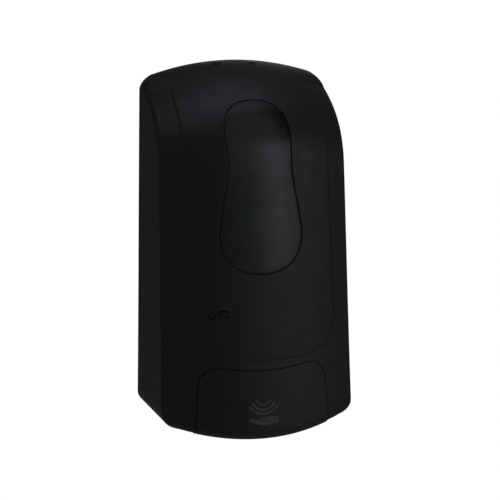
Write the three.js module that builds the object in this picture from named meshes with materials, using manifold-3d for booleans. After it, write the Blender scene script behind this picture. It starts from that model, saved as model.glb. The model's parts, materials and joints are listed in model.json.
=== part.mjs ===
// Wall mounted touch-free soap dispenser, as an assembly of its separate pieces.
// Millimetres, +Z up. The wall is the plane Y = 0 and the front looks towards -Y.
// "out" is always a distance out from the wall, so a point at out = 20 has Y = -20.
import * as THREE from 'three';
import { mergeVertices } from 'three/addons/utils/BufferGeometryUtils.js';
import Module from 'manifold-3d';

const wasm = await Module();
wasm.setup();

// ---- Driving dimensions -------------------------------------------------------------------

const GAP = 0.3;                 // clearance between neighbouring pieces

// Outer skin of the cover
const HALF_HEIGHT = 145;
const BOTTOM_OUT = 98.5;         // front centre at the lower edge
const LEAN = 0.0624;             // the front leans back by this much per mm of height
const SHOULDER_Z = 65;           // above this the front curves back to the wall
const SHOULDER_RISE_POWER = 2.48;
const SHOULDER_OUT_POWER = 1.28;
const BOTTOM_HALF_WIDTH = 79.1;
const TOP_HALF_WIDTH = 75.1;
const CROWN_R = 197;             // the front is this arc in plan
const CROWN_FADE = 30;           // the arc flattens over the last stretch towards the rim
const TOP_ARCH_R = 210;
const BOTTOM_ARCH_R = 212;
const UNDERCUT = 0.072;          // the lower edge rises towards the wall
const RIM_OUT = 14;              // the cover's rear edge stands off the wall
const LIP = 2;                   // depth of the rim along the top edge
const TOP_CORNER_R = 10.5;
const BOTTOM_CORNER_R = 10;
const CREASE_R = 3;              // edge between front and side
const SOLE_R = 7;                // edge between front and underside
const WALL = 2.6;
const INSET_SHIFT_Z = 60;        // an inset skin is also lower at the top and higher at the bottom
const OPEN_REAR_OUT = 8;         // cutters start behind the rim, so the cover is open at the back

// Pieces let into the cover
const GROOVE = 0.4;
const FLANGE = 3;                // how far a flange reaches behind the cover's wall
const LIGHT_FLANGE = 0.8;        // the same for the two small light lenses
const FLANGE_FROM = WALL + GAP;
const FLANGE_TO = FLANGE_FROM + 1.5;
const FRONT_CUT = [45, 120];     // reaches through the front and stops short of the mechanism
const SOLE_BACK_OUT = 82;        // the cover has an underside only in front of this
const KEY_SLOT = { x: 14, out: 23, halfWidth: 3.2, halfDepth: 1.45 };
const DROP_LIGHT = { x: -40.9, z: -45.2, width: 5.4, height: 6.6 };
const BATTERY_LIGHT = { x: -31.9, z: -44.8, width: 8.2, height: 4.6 };
const MAGNET = { x: [71.5, 74.5], out: [56, 62], z: [-95, -85] };

// Hinge across the bottom
const PIVOT = { out: 39, z: -112 };
const PIN_R = 2.6;
const PIN_BOSS_R = 6.5;
const PIN_X = [66.5, 75];
const EAR_X = [66.2, 69.8];
const EAR_R = 7;

// Back plate
const PLATE = { bottomHalf: 70, topHalf: 65.5, zLow: -136, zHigh: 137, thick: 3, rim: 20 };
const PLATE_ARCH = { bottom: 10, top: 10 };
const PLATE_CORNER_R = 7;
const PLATE_RIM_WALL = 2.4;
const WALL_SCREWS = [[-50, 104], [50, 104], [-50, -46], [50, -46]];
const WALL_SCREW_R = 2.2;
const WALL_SCREW_HEAD = { r: 4.6, topR: 4.2, seatOut: 3.3, edgeOut: 5.4, topOut: 5.8 };
const CROSS_RECESS = { reach: 2.4, half: 0.5, outLow: 4.2 };

// Latch behind the key slots
const LATCH_TRAVEL = 5;
const SLIDER = { half: 18, outLow: 14.3, outHigh: 22, zLow: 114, zHigh: 133 };
const KEY_PAD = { xLow: 10.6, xHigh: 17.6, outHigh: 25.6, zLow: 127 };
const GUIDE = { outHigh: 24, zLow: 100, zHigh: 132 };
const HOOK = { half: 8, outLow: 29.1, outHigh: 32, zLow: 121, zFloor: 124.5, zHigh: 133.5 };
const CATCH = { half: 10, outLow: 25, outHigh: 28.5, zLow: HOOK.zHigh - LATCH_TRAVEL + 1, zHigh: 139 };
const LATCH_FLOOR_Z = 103;
const RAIL_WIDTH = 5;
const LATCH_SPRING = { wire: 0.5, radius: 3, turns: 4, out: 18 };

// Batteries, behind the refill
const CELL = { r: 7.1, length: 49.5, nubR: 2.7, nub: 1, pitch: 16.2, count: 4, out: 15, zLow: -7 };
const BATTERY_BOX = { half: 35, outLow: PLATE.thick + GAP, outHigh: 27, zLow: -12, zHigh: 48 };
const BOX_WALL = 2;
const DOOR = { thick: 2, pullHalf: 10, pullFrom: 7, pullTo: 4, pullRise: 3.5 };
const CONTACT = { outs: [8, 22], thick: 0.8 };

// Refill bottle and pump, hanging neck down
const PUMP = { x: 0, out: 56 };
const BOTTLE = { half: 52, backOut: 36, inset: 9.5, zLow: -36, zHigh: 112, cornerR: 13 };
const NECK = { r: 15, zLow: -44 };
const COLLAR = { r: 21, zLow: -58.6, zHigh: -40.5 };
const PUMP_BARREL = { r: 12, bore: 7.6, zLow: -84, zHigh: -58.9, boreTop: -70 };
const PLUNGER = { r: 7, zTop: -82, zLow: -108, flangeR: 11, flangeLow: -101, flangeHigh: -98 };
const NOZZLE = { rTop: 6, rTip: 4, boreR: 2.2, boreDepth: 4, lip: 6, zTop: -108.3, zTip: -140 };

// Drive housing under the refill shelf
const HOUSING = { half: 64, outLow: 6, outHigh: 74, zHigh: -62.5, wall: 2.2, lift: 7 };
const BAY = { half: 25, outLow: 50 };
const NOZZLE_HOLE_R = 9;
const SCREW_POST = { halfX: 5.5, halfOut: 4, zLow: -73, holeLow: -71 };
const MOUTH = { depth: 6, zLow: -128 };
const SENSOR_HOLE = { half: 13, outs: [15, 29] };
const SWITCH_SLOT = { x: [38.2, 50.8], depth: 4, z: [-82, -78] };
const SHELF = { half: 63, outLow: 4, outHigh: 76, zLow: -62.2, zHigh: -59.2, slotHalf: 16 };
const SHELF_SCREWS = [[-57, 13], [57, 13], [-57, 67], [57, 67]];
const SHELF_SCREW_R = 1.6;
const SHELF_SCREW = { length: 10, headR: 3, topR: 2.6, headHigh: 2, domeHigh: 2.3 };

// Lights behind the two small lenses
const TOWER = { x: [-49, -25], out: [66, 77], z: [SHELF.zHigh + GAP, -39] };
const LIGHT_R = 1.5;
const LIGHT_OUT = [74, 81.6];

// Gear drive: a pinion on the output gear lifts the pump yoke by its rack
const MODULE = 1.2;
const ADDENDUM = MODULE;
const DEDENDUM = 1.25 * MODULE;
const TOOTH_ROOT = 0.3;          // half a tooth at its root, as a share of the tooth pitch
const TOOTH_TIP = 0.11;
const RACK_PITCH_X = -25.2;
const RACK_TEETH = 9;
const LIFT_TEETH = 12;
const WHEEL_TEETH = 26;
const MOTOR_TEETH = 10;
const OUTPUT_AXIS = { x: RACK_PITCH_X - MODULE * LIFT_TEETH / 2, z: -104 };
const MOTOR_BEARING = THREE.MathUtils.degToRad(120);
const MOTOR_REACH = MODULE * (WHEEL_TEETH + MOTOR_TEETH) / 2;
const MOTOR_AXIS = {
  x: OUTPUT_AXIS.x + MOTOR_REACH * Math.cos(MOTOR_BEARING),
  z: OUTPUT_AXIS.z + MOTOR_REACH * Math.sin(MOTOR_BEARING),
};
const RACK_OUT = [34, 40];
const LIFT_PINION_OUT = [34.5, 42];
const WHEEL_OUT = [42, 46.5];
const GEAR_PIN_R = 2;
const RUNNING = 0.25;            // radial clearance on shafts and guide rods
const YOKE = { half: 14, zLow: -124, zHigh: -88, forkFrom: -104.9, forkTo: -101.3, outHigh: 68 };
const GUIDE_ROD = { x: 8, out: 37, r: 2, zLow: -130.9, zHigh: -62.6 };
const GEAR_PLATE = { x: [-57, -15], out: [27.4, 30], z: [-119, -68] };
const GEAR_PIN_OUT = [26, 48];
const MOTOR = { r: 11, out: [49, 71], noseR: 4, noseOut: [48, 50], shaftR: 1, shaftOut: [40, 50] };

// Electronics
const MAIN_BOARD = { x: [30, 59], out: [20, 21.6], z: [-116, -68] };
const CAPACITOR = { r: 4, x: 38, out: [21.9, 32], z: -78 };
const CONNECTOR = { x: [46, 56], out: [21.9, 29], z: [-84, -74] };
const REED_SWITCH = { x: [57.5, 60.5], out: [50, 66], z: [-92, -88] };
const SENSOR_BOARD = { x: [-14, 14], out: [15, 29], z: [-118.8, -117.2] };
const SENSOR_EYE = { r: 2.5, x: 7, out: 22, z: [-129, -119.1] };
const SENSOR_WINDOW = { x: [-12.7, 12.7], out: [15.3, 28.7], z: [-133, -130] };
const SWITCH_BODY = { x: [36, 53], out: [62, 71.5], z: [-85, -75] };
const SWITCH_CHANNEL = { x: [38, 51], out: [67.5, 72], z: [-81.8, -78.2] };
const SWITCH_STEM = { x: [39, 45], out: [68, 76], z: [-81.4, -78.6] };
const SWITCH_CAP = { x: [38, 46], out: [HOUSING.outHigh + GAP, 77.5], z: [-83, -77] };

// ---- Colours --------------------------------------------------------------------------------

function finish(color, roughness, metalness = 0) {
  return new THREE.MeshStandardMaterial({ color, roughness, metalness });
}
const BLACK = finish(0x1b1b1d, 0.42);
const PANEL_BLACK = finish(0x1d1d1f, 0.4);
const SMOKED = finish(0x1f2120, 0.12);
const CHASSIS = finish(0x3b3d40, 0.6);
const DARK_GREY = finish(0x2a2b2d, 0.55);
const STEEL = finish(0xb8babc, 0.3, 1);
const BRASS = finish(0xb08d3c, 0.35, 1);
const NYLON = finish(0xe8e6de, 0.5);
const BOTTLE_PLASTIC = finish(0xdfe3e2, 0.35);
const PUMP_WHITE = finish(0xe9ebec, 0.4);
const SILICONE = finish(0xc9cdd0, 0.6);
const CELL_WRAP = finish(0x33475c, 0.35);
const BOARD = finish(0x1f5b3a, 0.5);
const CLEAR = finish(0x8f9a96, 0.15);

// ---- Solids ---------------------------------------------------------------------------------

const { clamp, lerp } = THREE.MathUtils;
const QUARTER_TURN = Math.PI / 2;

function toSolid(geometry) {
  geometry.deleteAttribute('normal');
  geometry.deleteAttribute('uv');
  const merged = mergeVertices(geometry);
  const mesh = new wasm.Mesh({
    numProp: 3,
    vertProperties: new Float32Array(merged.attributes.position.array),
    triVerts: new Uint32Array(merged.index.array),
  });
  return new wasm.Manifold(mesh);
}

function toGeometry(solid) {
  const { vertProperties, triVerts } = solid.getMesh();
  const geometry = new THREE.BufferGeometry();
  geometry.setAttribute('position', new THREE.BufferAttribute(vertProperties, 3));
  geometry.setIndex(new THREE.BufferAttribute(triVerts, 1));
  geometry.computeVertexNormals();
  return geometry;
}

function joined(solids) {
  return solids.reduce((whole, solid) => whole.add(solid));
}

function block([x0, x1], [out0, out1], [z0, z1]) {
  const box = new THREE.BoxGeometry(x1 - x0, out1 - out0, z1 - z0);
  box.translate((x0 + x1) / 2, -(out0 + out1) / 2, (z0 + z1) / 2);
  return toSolid(box);
}

function plainBlock({ x, out, z }) {
  return block(x, out, z);
}

function barX(radius, [x0, x1], out, z, sides = 16) {
  const bar = new THREE.CylinderGeometry(radius, radius, x1 - x0, sides);
  bar.rotateZ(QUARTER_TURN);
  bar.translate((x0 + x1) / 2, -out, z);
  return toSolid(bar);
}

function barOut(radius, x, [out0, out1], z, sides = 16) {
  const bar = new THREE.CylinderGeometry(radius, radius, out1 - out0, sides);
  bar.translate(x, -(out0 + out1) / 2, z);
  return toSolid(bar);
}

function barZ(radius, x, out, [z0, z1], sides = 16) {
  const bar = new THREE.CylinderGeometry(radius, radius, z1 - z0, sides);
  bar.rotateX(QUARTER_TURN);
  bar.translate(x, -out, (z0 + z1) / 2);
  return toSolid(bar);
}

// An outline drawn in x and z, carried from out0 to out1.
function slabGeometry(outline, [out0, out1], curveSegments = 8) {
  const options = { depth: out1 - out0, bevelEnabled: false, curveSegments };
  const slab = new THREE.ExtrudeGeometry(outline, options);
  slab.rotateX(QUARTER_TURN);
  slab.translate(0, -out0, 0);
  return slab;
}

function slab(outline, outs, curveSegments) {
  return toSolid(slabGeometry(outline, outs, curveSegments));
}

// A turned piece about the vertical through x, out. The profile is [radius, z] pairs.
function turned(profile, x, out, sides = 20) {
  const points = profile.map(([radius, z]) => new THREE.Vector2(radius, z));
  const lathe = new THREE.LatheGeometry(points, sides);
  lathe.rotateX(QUARTER_TURN);
  lathe.translate(x, -out, 0);
  return toSolid(lathe);
}

const part = new THREE.Group();

function add(name, shape, material, place = [0, 0, 0]) {
  const geometry = shape.isBufferGeometry ? shape : toGeometry(shape);
  const mesh = new THREE.Mesh(geometry, material);
  mesh.name = name;
  mesh.position.set(...place);
  part.add(mesh);
}

// ---- The cover's skin -------------------------------------------------------------------------

const SKIN_COLUMNS = 20;
const EDGE_COLUMNS = 2;
const SOLE_ROWS = 3;
const STRAIGHT_ROWS = 4;
const SHOULDER_ROWS = 11;
const SKIN_ROWS = SOLE_ROWS + STRAIGHT_ROWS + SHOULDER_ROWS;

// How far a rounded edge has dropped, "into" mm past the line where it starts.
function edgeDrop(into, radius) {
  const reach = clamp(into, 0, radius);
  return radius - Math.sqrt(radius ** 2 - reach ** 2);
}

function frontOut(z) {
  const straight = BOTTOM_OUT - LEAN * (z + HALF_HEIGHT);
  const climb = clamp((z - SHOULDER_Z) / (HALF_HEIGHT - SHOULDER_Z), 0, 1);
  const least = RIM_OUT + LIP;
  const share = (1 - climb ** SHOULDER_RISE_POWER) ** (1 / SHOULDER_OUT_POWER);
  return least + (straight - least) * share;
}

function crownDrop(x, out) {
  const fade = clamp((out - RIM_OUT) / CROWN_FADE, 0, 1);
  return fade * (CROWN_R - Math.sqrt(CROWN_R ** 2 - x ** 2));
}

function halfWidth(z) {
  const share = (z + HALF_HEIGHT) / (2 * HALF_HEIGHT);
  const side = lerp(BOTTOM_HALF_WIDTH, TOP_HALF_WIDTH, share);
  const top = edgeDrop(z - (HALF_HEIGHT - TOP_CORNER_R), TOP_CORNER_R);
  const bottom = edgeDrop(BOTTOM_CORNER_R - HALF_HEIGHT - z, BOTTOM_CORNER_R);
  return side - top - bottom;
}

function archRise(x, z) {
  const share = (z / HALF_HEIGHT) ** 2 * x * x / 2;
  return z > 0 ? -share / TOP_ARCH_R : share / BOTTOM_ARCH_R;
}

// A point of the skin: s runs -1 to 1 across, t runs from the rear (0) to the front (1).
function skinPoint(s, t, z, inset, rearOut) {
  const half = halfWidth(z);
  const across = Math.abs(s) * half;
  const centre = frontOut(z);
  const crease = edgeDrop(across - (half - CREASE_R), CREASE_R);
  const sole = edgeDrop(SOLE_R - HALF_HEIGHT - z, SOLE_R);
  const rounded = centre - crownDrop(across, centre) - crease - sole;
  const front = Math.max(rounded, RIM_OUT + LIP) - inset;
  const x = s * (half - inset);
  const behind = (front - rearOut) * (1 - t);
  const low = clamp(-z / HALF_HEIGHT, 0, 1) ** 2;
  const shift = -inset * clamp(z / INSET_SHIFT_Z, -1, 1);
  return [x, behind - front, z + shift + archRise(x, z) + low * UNDERCUT * behind];
}

function rowHeight(row) {
  const straightRow = row - SOLE_ROWS;
  const shoulderRow = straightRow - STRAIGHT_ROWS;
  if (straightRow <= 0) {
    return -HALF_HEIGHT + SOLE_R * (1 - Math.cos(QUARTER_TURN * row / SOLE_ROWS));
  }
  if (shoulderRow <= 0) {
    return lerp(SOLE_R - HALF_HEIGHT, SHOULDER_Z, straightRow / STRAIGHT_ROWS);
  }
  const turn = Math.sin(QUARTER_TURN * shoulderRow / SHOULDER_ROWS);
  return lerp(SHOULDER_Z, HALF_HEIGHT, turn);
}

function columnShare(column, half) {
  const inner = SKIN_COLUMNS / 2 - EDGE_COLUMNS;
  const edge = 1 - CREASE_R / half;
  const side = Math.abs(column);
  const past = Math.max(side - inner, 0) / EDGE_COLUMNS;
  const share = side <= inner ? edge * side / inner : lerp(edge, 1, Math.sin(QUARTER_TURN * past));
  return Math.sign(column) * share;
}

// The filled form inside the skin, set in by "inset", from rearOut to the front.
function skin(inset, rearOut) {
  const box = new THREE.BoxGeometry(SKIN_COLUMNS, 1, SKIN_ROWS, SKIN_COLUMNS, 1, SKIN_ROWS);
  const position = box.attributes.position;
  for (let i = 0; i < position.count; i += 1) {
    const z = rowHeight(position.getZ(i) + SKIN_ROWS / 2);
    const s = columnShare(position.getX(i), halfWidth(z));
    const t = 0.5 - position.getY(i);
    position.setXYZ(i, ...skinPoint(s, t, z, inset, rearOut));
  }
  return toSolid(box);
}

const OUTER = skin(0, RIM_OUT);

function layer(from, to) {
  const outside = from === 0 ? OUTER : skin(from, RIM_OUT);
  return outside.subtract(skin(to, OPEN_REAR_OUT));
}

// ---- Outlines on the front -----------------------------------------------------------------

function mirrored(shape, points) {
  points.forEach(([c1x, c1z, c2x, c2z, x, z]) => shape.bezierCurveTo(c1x, c1z, c2x, c2z, x, z));
  return shape;
}

// Refill window: a pear with a slight waist.
function windowOutline(grow) {
  const top = 116.8 + grow;
  const upper = 26.4 + grow;
  const waist = 25.7 + grow;
  const lower = 33.4 + grow;
  const bottom = -15.2 - grow;
  const shape = new THREE.Shape();
  shape.moveTo(0, top);
  return mirrored(shape, [
    [-16.2, top, 0.5 - upper, 109.3, -upper, 93.7],
    [-upper - 0.2, 86.7, -waist, 78.7, -waist, 70.7],
    [-waist, 51.9, 1.2 - lower, 35.4, -lower, 15.5],
    [-lower - 0.2, -5.4, -20, bottom, 0, bottom],
    [20, bottom, lower + 0.2, -5.4, lower, 15.5],
    [lower - 1.2, 35.4, waist, 51.9, waist, 70.7],
    [waist, 78.7, upper + 0.2, 86.7, upper, 93.7],
    [upper - 0.5, 109.3, 16.2, top, 0, top],
  ]);
}

// Sensor panel: round upper corners, a sagging upper edge and sides that spread downwards.
function panelOutline(grow) {
  const shape = new THREE.Shape();
  const middle = grow - 90.1;
  const shoulder = grow - 86.7;
  const side = 52.8 + grow;
  const foot = 56.8 + grow;
  shape.moveTo(0, middle);
  shape.quadraticCurveTo(-20, middle + 0.2, -36.5, shoulder);
  shape.bezierCurveTo(-45.4, shoulder + 0.9, 1.1 - side, -91.2 + grow, -side, -100.5);
  shape.lineTo(-foot, -160);
  shape.lineTo(foot, -160);
  shape.lineTo(side, -100.5);
  shape.bezierCurveTo(side - 1.1, -91.2 + grow, 45.4, shoulder + 0.9, 36.5, shoulder);
  shape.quadraticCurveTo(20, middle + 0.2, 0, middle);
  return shape;
}

function dropOutline(grow) {
  const r = DROP_LIGHT.width / 2 + grow;
  const top = DROP_LIGHT.height / 2 + grow;
  const shape = new THREE.Shape();
  const low = r - top;
  shape.moveTo(DROP_LIGHT.x, DROP_LIGHT.z + top);
  shape.quadraticCurveTo(DROP_LIGHT.x - r, DROP_LIGHT.z + 0.8, DROP_LIGHT.x - r, DROP_LIGHT.z + low);
  shape.absarc(DROP_LIGHT.x, DROP_LIGHT.z + low, r, Math.PI, 2 * Math.PI);
  shape.quadraticCurveTo(DROP_LIGHT.x + r, DROP_LIGHT.z + 0.8, DROP_LIGHT.x, DROP_LIGHT.z + top);
  return shape;
}

function batteryOutline(grow) {
  const r = BATTERY_LIGHT.height / 2 + grow;
  const half = (BATTERY_LIGHT.width - BATTERY_LIGHT.height) / 2;
  const shape = new THREE.Shape();
  shape.absarc(BATTERY_LIGHT.x + half, BATTERY_LIGHT.z, r, -QUARTER_TURN, QUARTER_TURN);
  shape.absarc(BATTERY_LIGHT.x - half, BATTERY_LIGHT.z, r, QUARTER_TURN, 3 * QUARTER_TURN);
  shape.closePath();
  return shape;
}

// ---- Cover ----------------------------------------------------------------------------------

function frontCover() {
  const inside = skin(WALL, OPEN_REAR_OUT);
  const underside = inside.translate(0, 0, -20).intersect(block([-90, 90], [0, SOLE_BACK_OUT], [-190, -90]));
  const slot = (side) => block(
    [side * KEY_SLOT.x - KEY_SLOT.halfWidth, side * KEY_SLOT.x + KEY_SLOT.halfWidth],
    [KEY_SLOT.out - KEY_SLOT.halfDepth, KEY_SLOT.out + KEY_SLOT.halfDepth],
    [130, 150],
  );
  const boss = (side) => barX(PIN_BOSS_R, side < 0 ? [-78, -70.4] : [70.4, 78], PIVOT.out, PIVOT.z);
  const pinHole = (side) => barX(PIN_R + GAP, side < 0 ? [-PIN_X[1] - GAP, -60] : [60, PIN_X[1] + GAP],
    PIVOT.out, PIVOT.z);
  const catchRib = block(
    [-CATCH.half, CATCH.half],
    [CATCH.outLow, CATCH.outHigh],
    [CATCH.zLow, CATCH.zHigh],
  );
  const cuts = [
    underside,
    slab(windowOutline(GROOVE), FRONT_CUT),
    slab(panelOutline(GROOVE), [SOLE_BACK_OUT - 4, FRONT_CUT[1]]),
    slab(dropOutline(GROOVE), FRONT_CUT, 4),
    slab(batteryOutline(GROOVE), FRONT_CUT, 4),
    slot(-1),
    slot(1),
    pinHole(-1),
    pinHole(1),
  ];
  const shell = joined([OUTER.subtract(inside), boss(-1), boss(1), catchRib]);
  return cuts.reduce((body, cut) => body.subtract(cut), shell);
}

// A piece flush with the cover, with a flange behind the cover's wall.
function inlay(outline, { outs = FRONT_CUT, flange = FLANGE, curveSegments = 8 } = {}) {
  const plug = layer(0, FLANGE_FROM + 0.5).intersect(slab(outline(0), outs, curveSegments));
  const behind = layer(FLANGE_FROM, FLANGE_TO).intersect(slab(outline(flange), outs, curveSegments));
  return plug.add(behind);
}

function addCover() {
  add('front_cover', frontCover(), BLACK);
  add('window_lens', inlay(windowOutline), SMOKED);
  add('sensor_panel', inlay(panelOutline, { outs: [SOLE_BACK_OUT, FRONT_CUT[1]] }), PANEL_BLACK);
  const small = { flange: LIGHT_FLANGE, curveSegments: 4 };
  add('drop_light_lens', inlay(dropOutline, small), CLEAR);
  add('battery_light_lens', inlay(batteryOutline, small), CLEAR);
  add('hinge_pin_left', barX(PIN_R, [-PIN_X[1], -PIN_X[0]], PIVOT.out, PIVOT.z), STEEL);
  add('hinge_pin_right', barX(PIN_R, PIN_X, PIVOT.out, PIVOT.z), STEEL);
  add('cover_magnet', plainBlock(MAGNET), STEEL);
}

// ---- Back plate -------------------------------------------------------------------------------

function plateOutline(inset) {
  const bottom = PLATE.bottomHalf - inset;
  const top = PLATE.topHalf - inset;
  const low = PLATE.zLow + inset;
  const high = PLATE.zHigh - inset;
  const lowCorner = low + PLATE_ARCH.bottom;
  const highCorner = high - PLATE_ARCH.top;
  const r = PLATE_CORNER_R - inset;
  const shape = new THREE.Shape();
  shape.moveTo(0, low);
  shape.quadraticCurveTo((bottom - r) / 2, low, bottom - r, lowCorner - r / 3);
  shape.quadraticCurveTo(bottom, lowCorner, bottom, lowCorner + r);
  shape.lineTo(top, highCorner - r);
  shape.quadraticCurveTo(top, highCorner, top - r, highCorner + r / 3);
  shape.quadraticCurveTo((top - r) / 2, high, 0, high);
  shape.quadraticCurveTo((r - top) / 2, high, r - top, highCorner + r / 3);
  shape.quadraticCurveTo(-top, highCorner, -top, highCorner - r);
  shape.lineTo(-bottom, lowCorner + r);
  shape.quadraticCurveTo(-bottom, lowCorner, r - bottom, lowCorner - r / 3);
  shape.quadraticCurveTo((r - bottom) / 2, low, 0, low);
  return shape;
}

function hingeEar(side) {
  const xs = side < 0 ? [-EAR_X[1], -EAR_X[0]] : EAR_X;
  const arm = block(xs, [1, PIVOT.out], [PIVOT.z - EAR_R, PIVOT.z + EAR_R]);
  const eye = barX(EAR_R, xs, PIVOT.out, PIVOT.z);
  const hole = barX(PIN_R + RUNNING, [xs[0] - 1, xs[1] + 1], PIVOT.out, PIVOT.z);
  return arm.add(eye).subtract(hole);
}

function addBackPlate() {
  const base = slab(plateOutline(0), [0, PLATE.rim], 4);
  const hollow = slab(plateOutline(PLATE_RIM_WALL), [PLATE.thick, PLATE.rim + 1], 4);
  const holes = WALL_SCREWS.map(([x, z]) => barOut(WALL_SCREW_R + GAP, x, [-1, 5], z, 12));
  const plate = joined([base.subtract(hollow), hingeEar(-1), hingeEar(1)]);
  add('back_plate', holes.reduce((body, hole) => body.subtract(hole), plate), CHASSIS);
  const { r, topR, seatOut, edgeOut, topOut } = WALL_SCREW_HEAD;
  const shank = [[0, GAP], [WALL_SCREW_R, GAP], [WALL_SCREW_R, seatOut]];
  const profile = [...shank, [r, seatOut], [topR, edgeOut], [0, topOut]];
  WALL_SCREWS.forEach(([x, z], index) => {
    const points = profile.map(([radius, out]) => new THREE.Vector2(radius, out));
    const screw = new THREE.LatheGeometry(points, 12);
    screw.rotateX(Math.PI);
    const { reach, half, outLow } = CROSS_RECESS;
    const arms = [[reach, half], [half, reach]];
    const drive = arms.map(([wide, high]) => block([-wide, wide], [outLow, topOut + 1], [-high, high]));
    const body = drive.reduce((whole, cut) => whole.subtract(cut), toSolid(screw));
    add(`wall_screw_${index + 1}`, body, STEEL, [x, 0, z]);
  });
}

// ---- Latch --------------------------------------------------------------------------------------

class Helix extends THREE.Curve {
  constructor(radius, turns, pitch) {
    super();
    this.radius = radius;
    this.turns = turns;
    this.pitch = pitch;
  }

  getPoint(t, target = new THREE.Vector3()) {
    const angle = 2 * Math.PI * this.turns * t;
    const height = this.pitch * this.turns * t;
    return target.set(this.radius * Math.cos(angle), this.radius * Math.sin(angle), height);
  }
}

function addLatch() {
  const railIn = SLIDER.half + GAP;
  const railOut = railIn + RAIL_WIDTH;
  const outs = [PLATE.thick + GAP, GUIDE.outHigh];
  const zs = [GUIDE.zLow, GUIDE.zHigh];
  const rail = (side) => block(side < 0 ? [-railOut, -railIn] : [railIn, railOut], outs, zs);
  const floor = block([-railOut, railOut], outs, [GUIDE.zLow, LATCH_FLOOR_Z]);
  const back = block([-railOut, railOut], [outs[0], SLIDER.outLow - GAP], zs);
  add('latch_guide', joined([rail(-1), rail(1), floor, back]), DARK_GREY);

  const plate = block(
    [-SLIDER.half, SLIDER.half],
    [SLIDER.outLow, SLIDER.outHigh],
    [SLIDER.zLow, SLIDER.zHigh],
  );
  const arm = block([-HOOK.half, HOOK.half], [SLIDER.outHigh - 1, HOOK.outHigh], [HOOK.zLow, HOOK.zFloor]);
  const nose = block([-HOOK.half, HOOK.half], [HOOK.outLow, HOOK.outHigh], [HOOK.zLow, HOOK.zHigh]);
  const pad = (side) => block(
    side < 0 ? [-KEY_PAD.xHigh, -KEY_PAD.xLow] : [KEY_PAD.xLow, KEY_PAD.xHigh],
    [SLIDER.outHigh - 1, KEY_PAD.outHigh],
    [KEY_PAD.zLow, SLIDER.zHigh],
  );
  add('latch_slider', joined([plate, arm, nose, pad(-1), pad(1)]), NYLON);

  const { wire, radius, turns, out } = LATCH_SPRING;
  const ringOutline = new THREE.Shape();
  ringOutline.absarc(0, 0, wire, 0, 2 * Math.PI);
  const rise = SLIDER.zLow - LATCH_FLOOR_Z - 2 * wire - 2 * GAP;
  const path = new Helix(radius, turns, rise / turns);
  const options = { steps: 12 * turns, extrudePath: path, curveSegments: 3 };
  const spring = toSolid(new THREE.ExtrudeGeometry(ringOutline, options));
  add('latch_spring', spring, STEEL, [0, -out, LATCH_FLOOR_Z + wire + GAP]);
}

// ---- Batteries ------------------------------------------------------------------------------

function cellX(index) {
  return (index - (CELL.count - 1) / 2) * CELL.pitch;
}

function addBatteries() {
  const { half, outLow, outHigh, zLow, zHigh } = BATTERY_BOX;
  const tray = block([-half, half], [outLow, outHigh], [zLow, zHigh]);
  const well = block([BOX_WALL - half, half - BOX_WALL], [outLow + BOX_WALL, outHigh + 1],
    [zLow + BOX_WALL, zHigh - BOX_WALL]);
  add('battery_box', tray.subtract(well), CHASSIS);

  const seat = outHigh + GAP;
  const lid = block([-half, half], [seat, seat + DOOR.thick], [zLow, zHigh]);
  const pull = block(
    [-DOOR.pullHalf, DOOR.pullHalf],
    [seat + 1, seat + DOOR.pullRise],
    [zHigh - DOOR.pullFrom, zHigh - DOOR.pullTo],
  );
  add('battery_door', lid.add(pull), DARK_GREY);

  const top = CELL.zLow + CELL.length;
  for (let index = 0; index < CELL.count; index += 1) {
    const { r, nubR, nub } = CELL;
    const can = [[0, CELL.zLow], [r, CELL.zLow], [r, top - nub]];
    const profile = [...can, [nubR, top - nub], [nubR, top], [0, top]];
    add(`battery_cell_${index + 1}`, turned(profile, cellX(index), CELL.out), CELL_WRAP);
  }
  const contactXs = [GAP + BOX_WALL - half, half - BOX_WALL - GAP];
  const { outs, thick } = CONTACT;
  const low = CELL.zLow - GAP;
  add('contact_strip_top', block(contactXs, outs, [top + GAP, top + GAP + thick]), BRASS);
  add('contact_strip_bottom', block(contactXs, outs, [low - thick, low]), BRASS);
}

// ---- Refill and pump --------------------------------------------------------------------------

// The bottle's front follows the inside of the cover; its back is flat.
function refillBottle() {
  const columns = 10;
  const rows = 12;
  const box = new THREE.BoxGeometry(columns, 1, rows, columns, 1, rows);
  const position = box.attributes.position;
  for (let i = 0; i < position.count; i += 1) {
    const climb = position.getZ(i) / rows + 0.5;
    const z = lerp(BOTTLE.zLow, BOTTLE.zHigh, (1 - Math.cos(Math.PI * climb)) / 2);
    const endDrop = edgeDrop(z - (BOTTLE.zHigh - BOTTLE.cornerR), BOTTLE.cornerR)
      + edgeDrop(BOTTLE.zLow + BOTTLE.cornerR - z, BOTTLE.cornerR);
    const half = BOTTLE.half - endDrop;
    const x = half * Math.sin(QUARTER_TURN * 2 * position.getX(i) / columns);
    const cornerDrop = edgeDrop(Math.abs(x) - (half - BOTTLE.cornerR), BOTTLE.cornerR) / 2;
    const centre = frontOut(z + BOTTLE.inset / 2);
    const front = centre - crownDrop(x, centre) - BOTTLE.inset - cornerDrop - endDrop / 2;
    const t = 0.5 - position.getY(i);
    position.setXYZ(i, x, -lerp(BOTTLE.backOut + cornerDrop / 2, front, t), z);
  }
  const neck = barZ(NECK.r, PUMP.x, PUMP.out, [COLLAR.zHigh + GAP, BOTTLE.zLow + 6], 20);
  return toSolid(box).add(neck);
}

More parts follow.
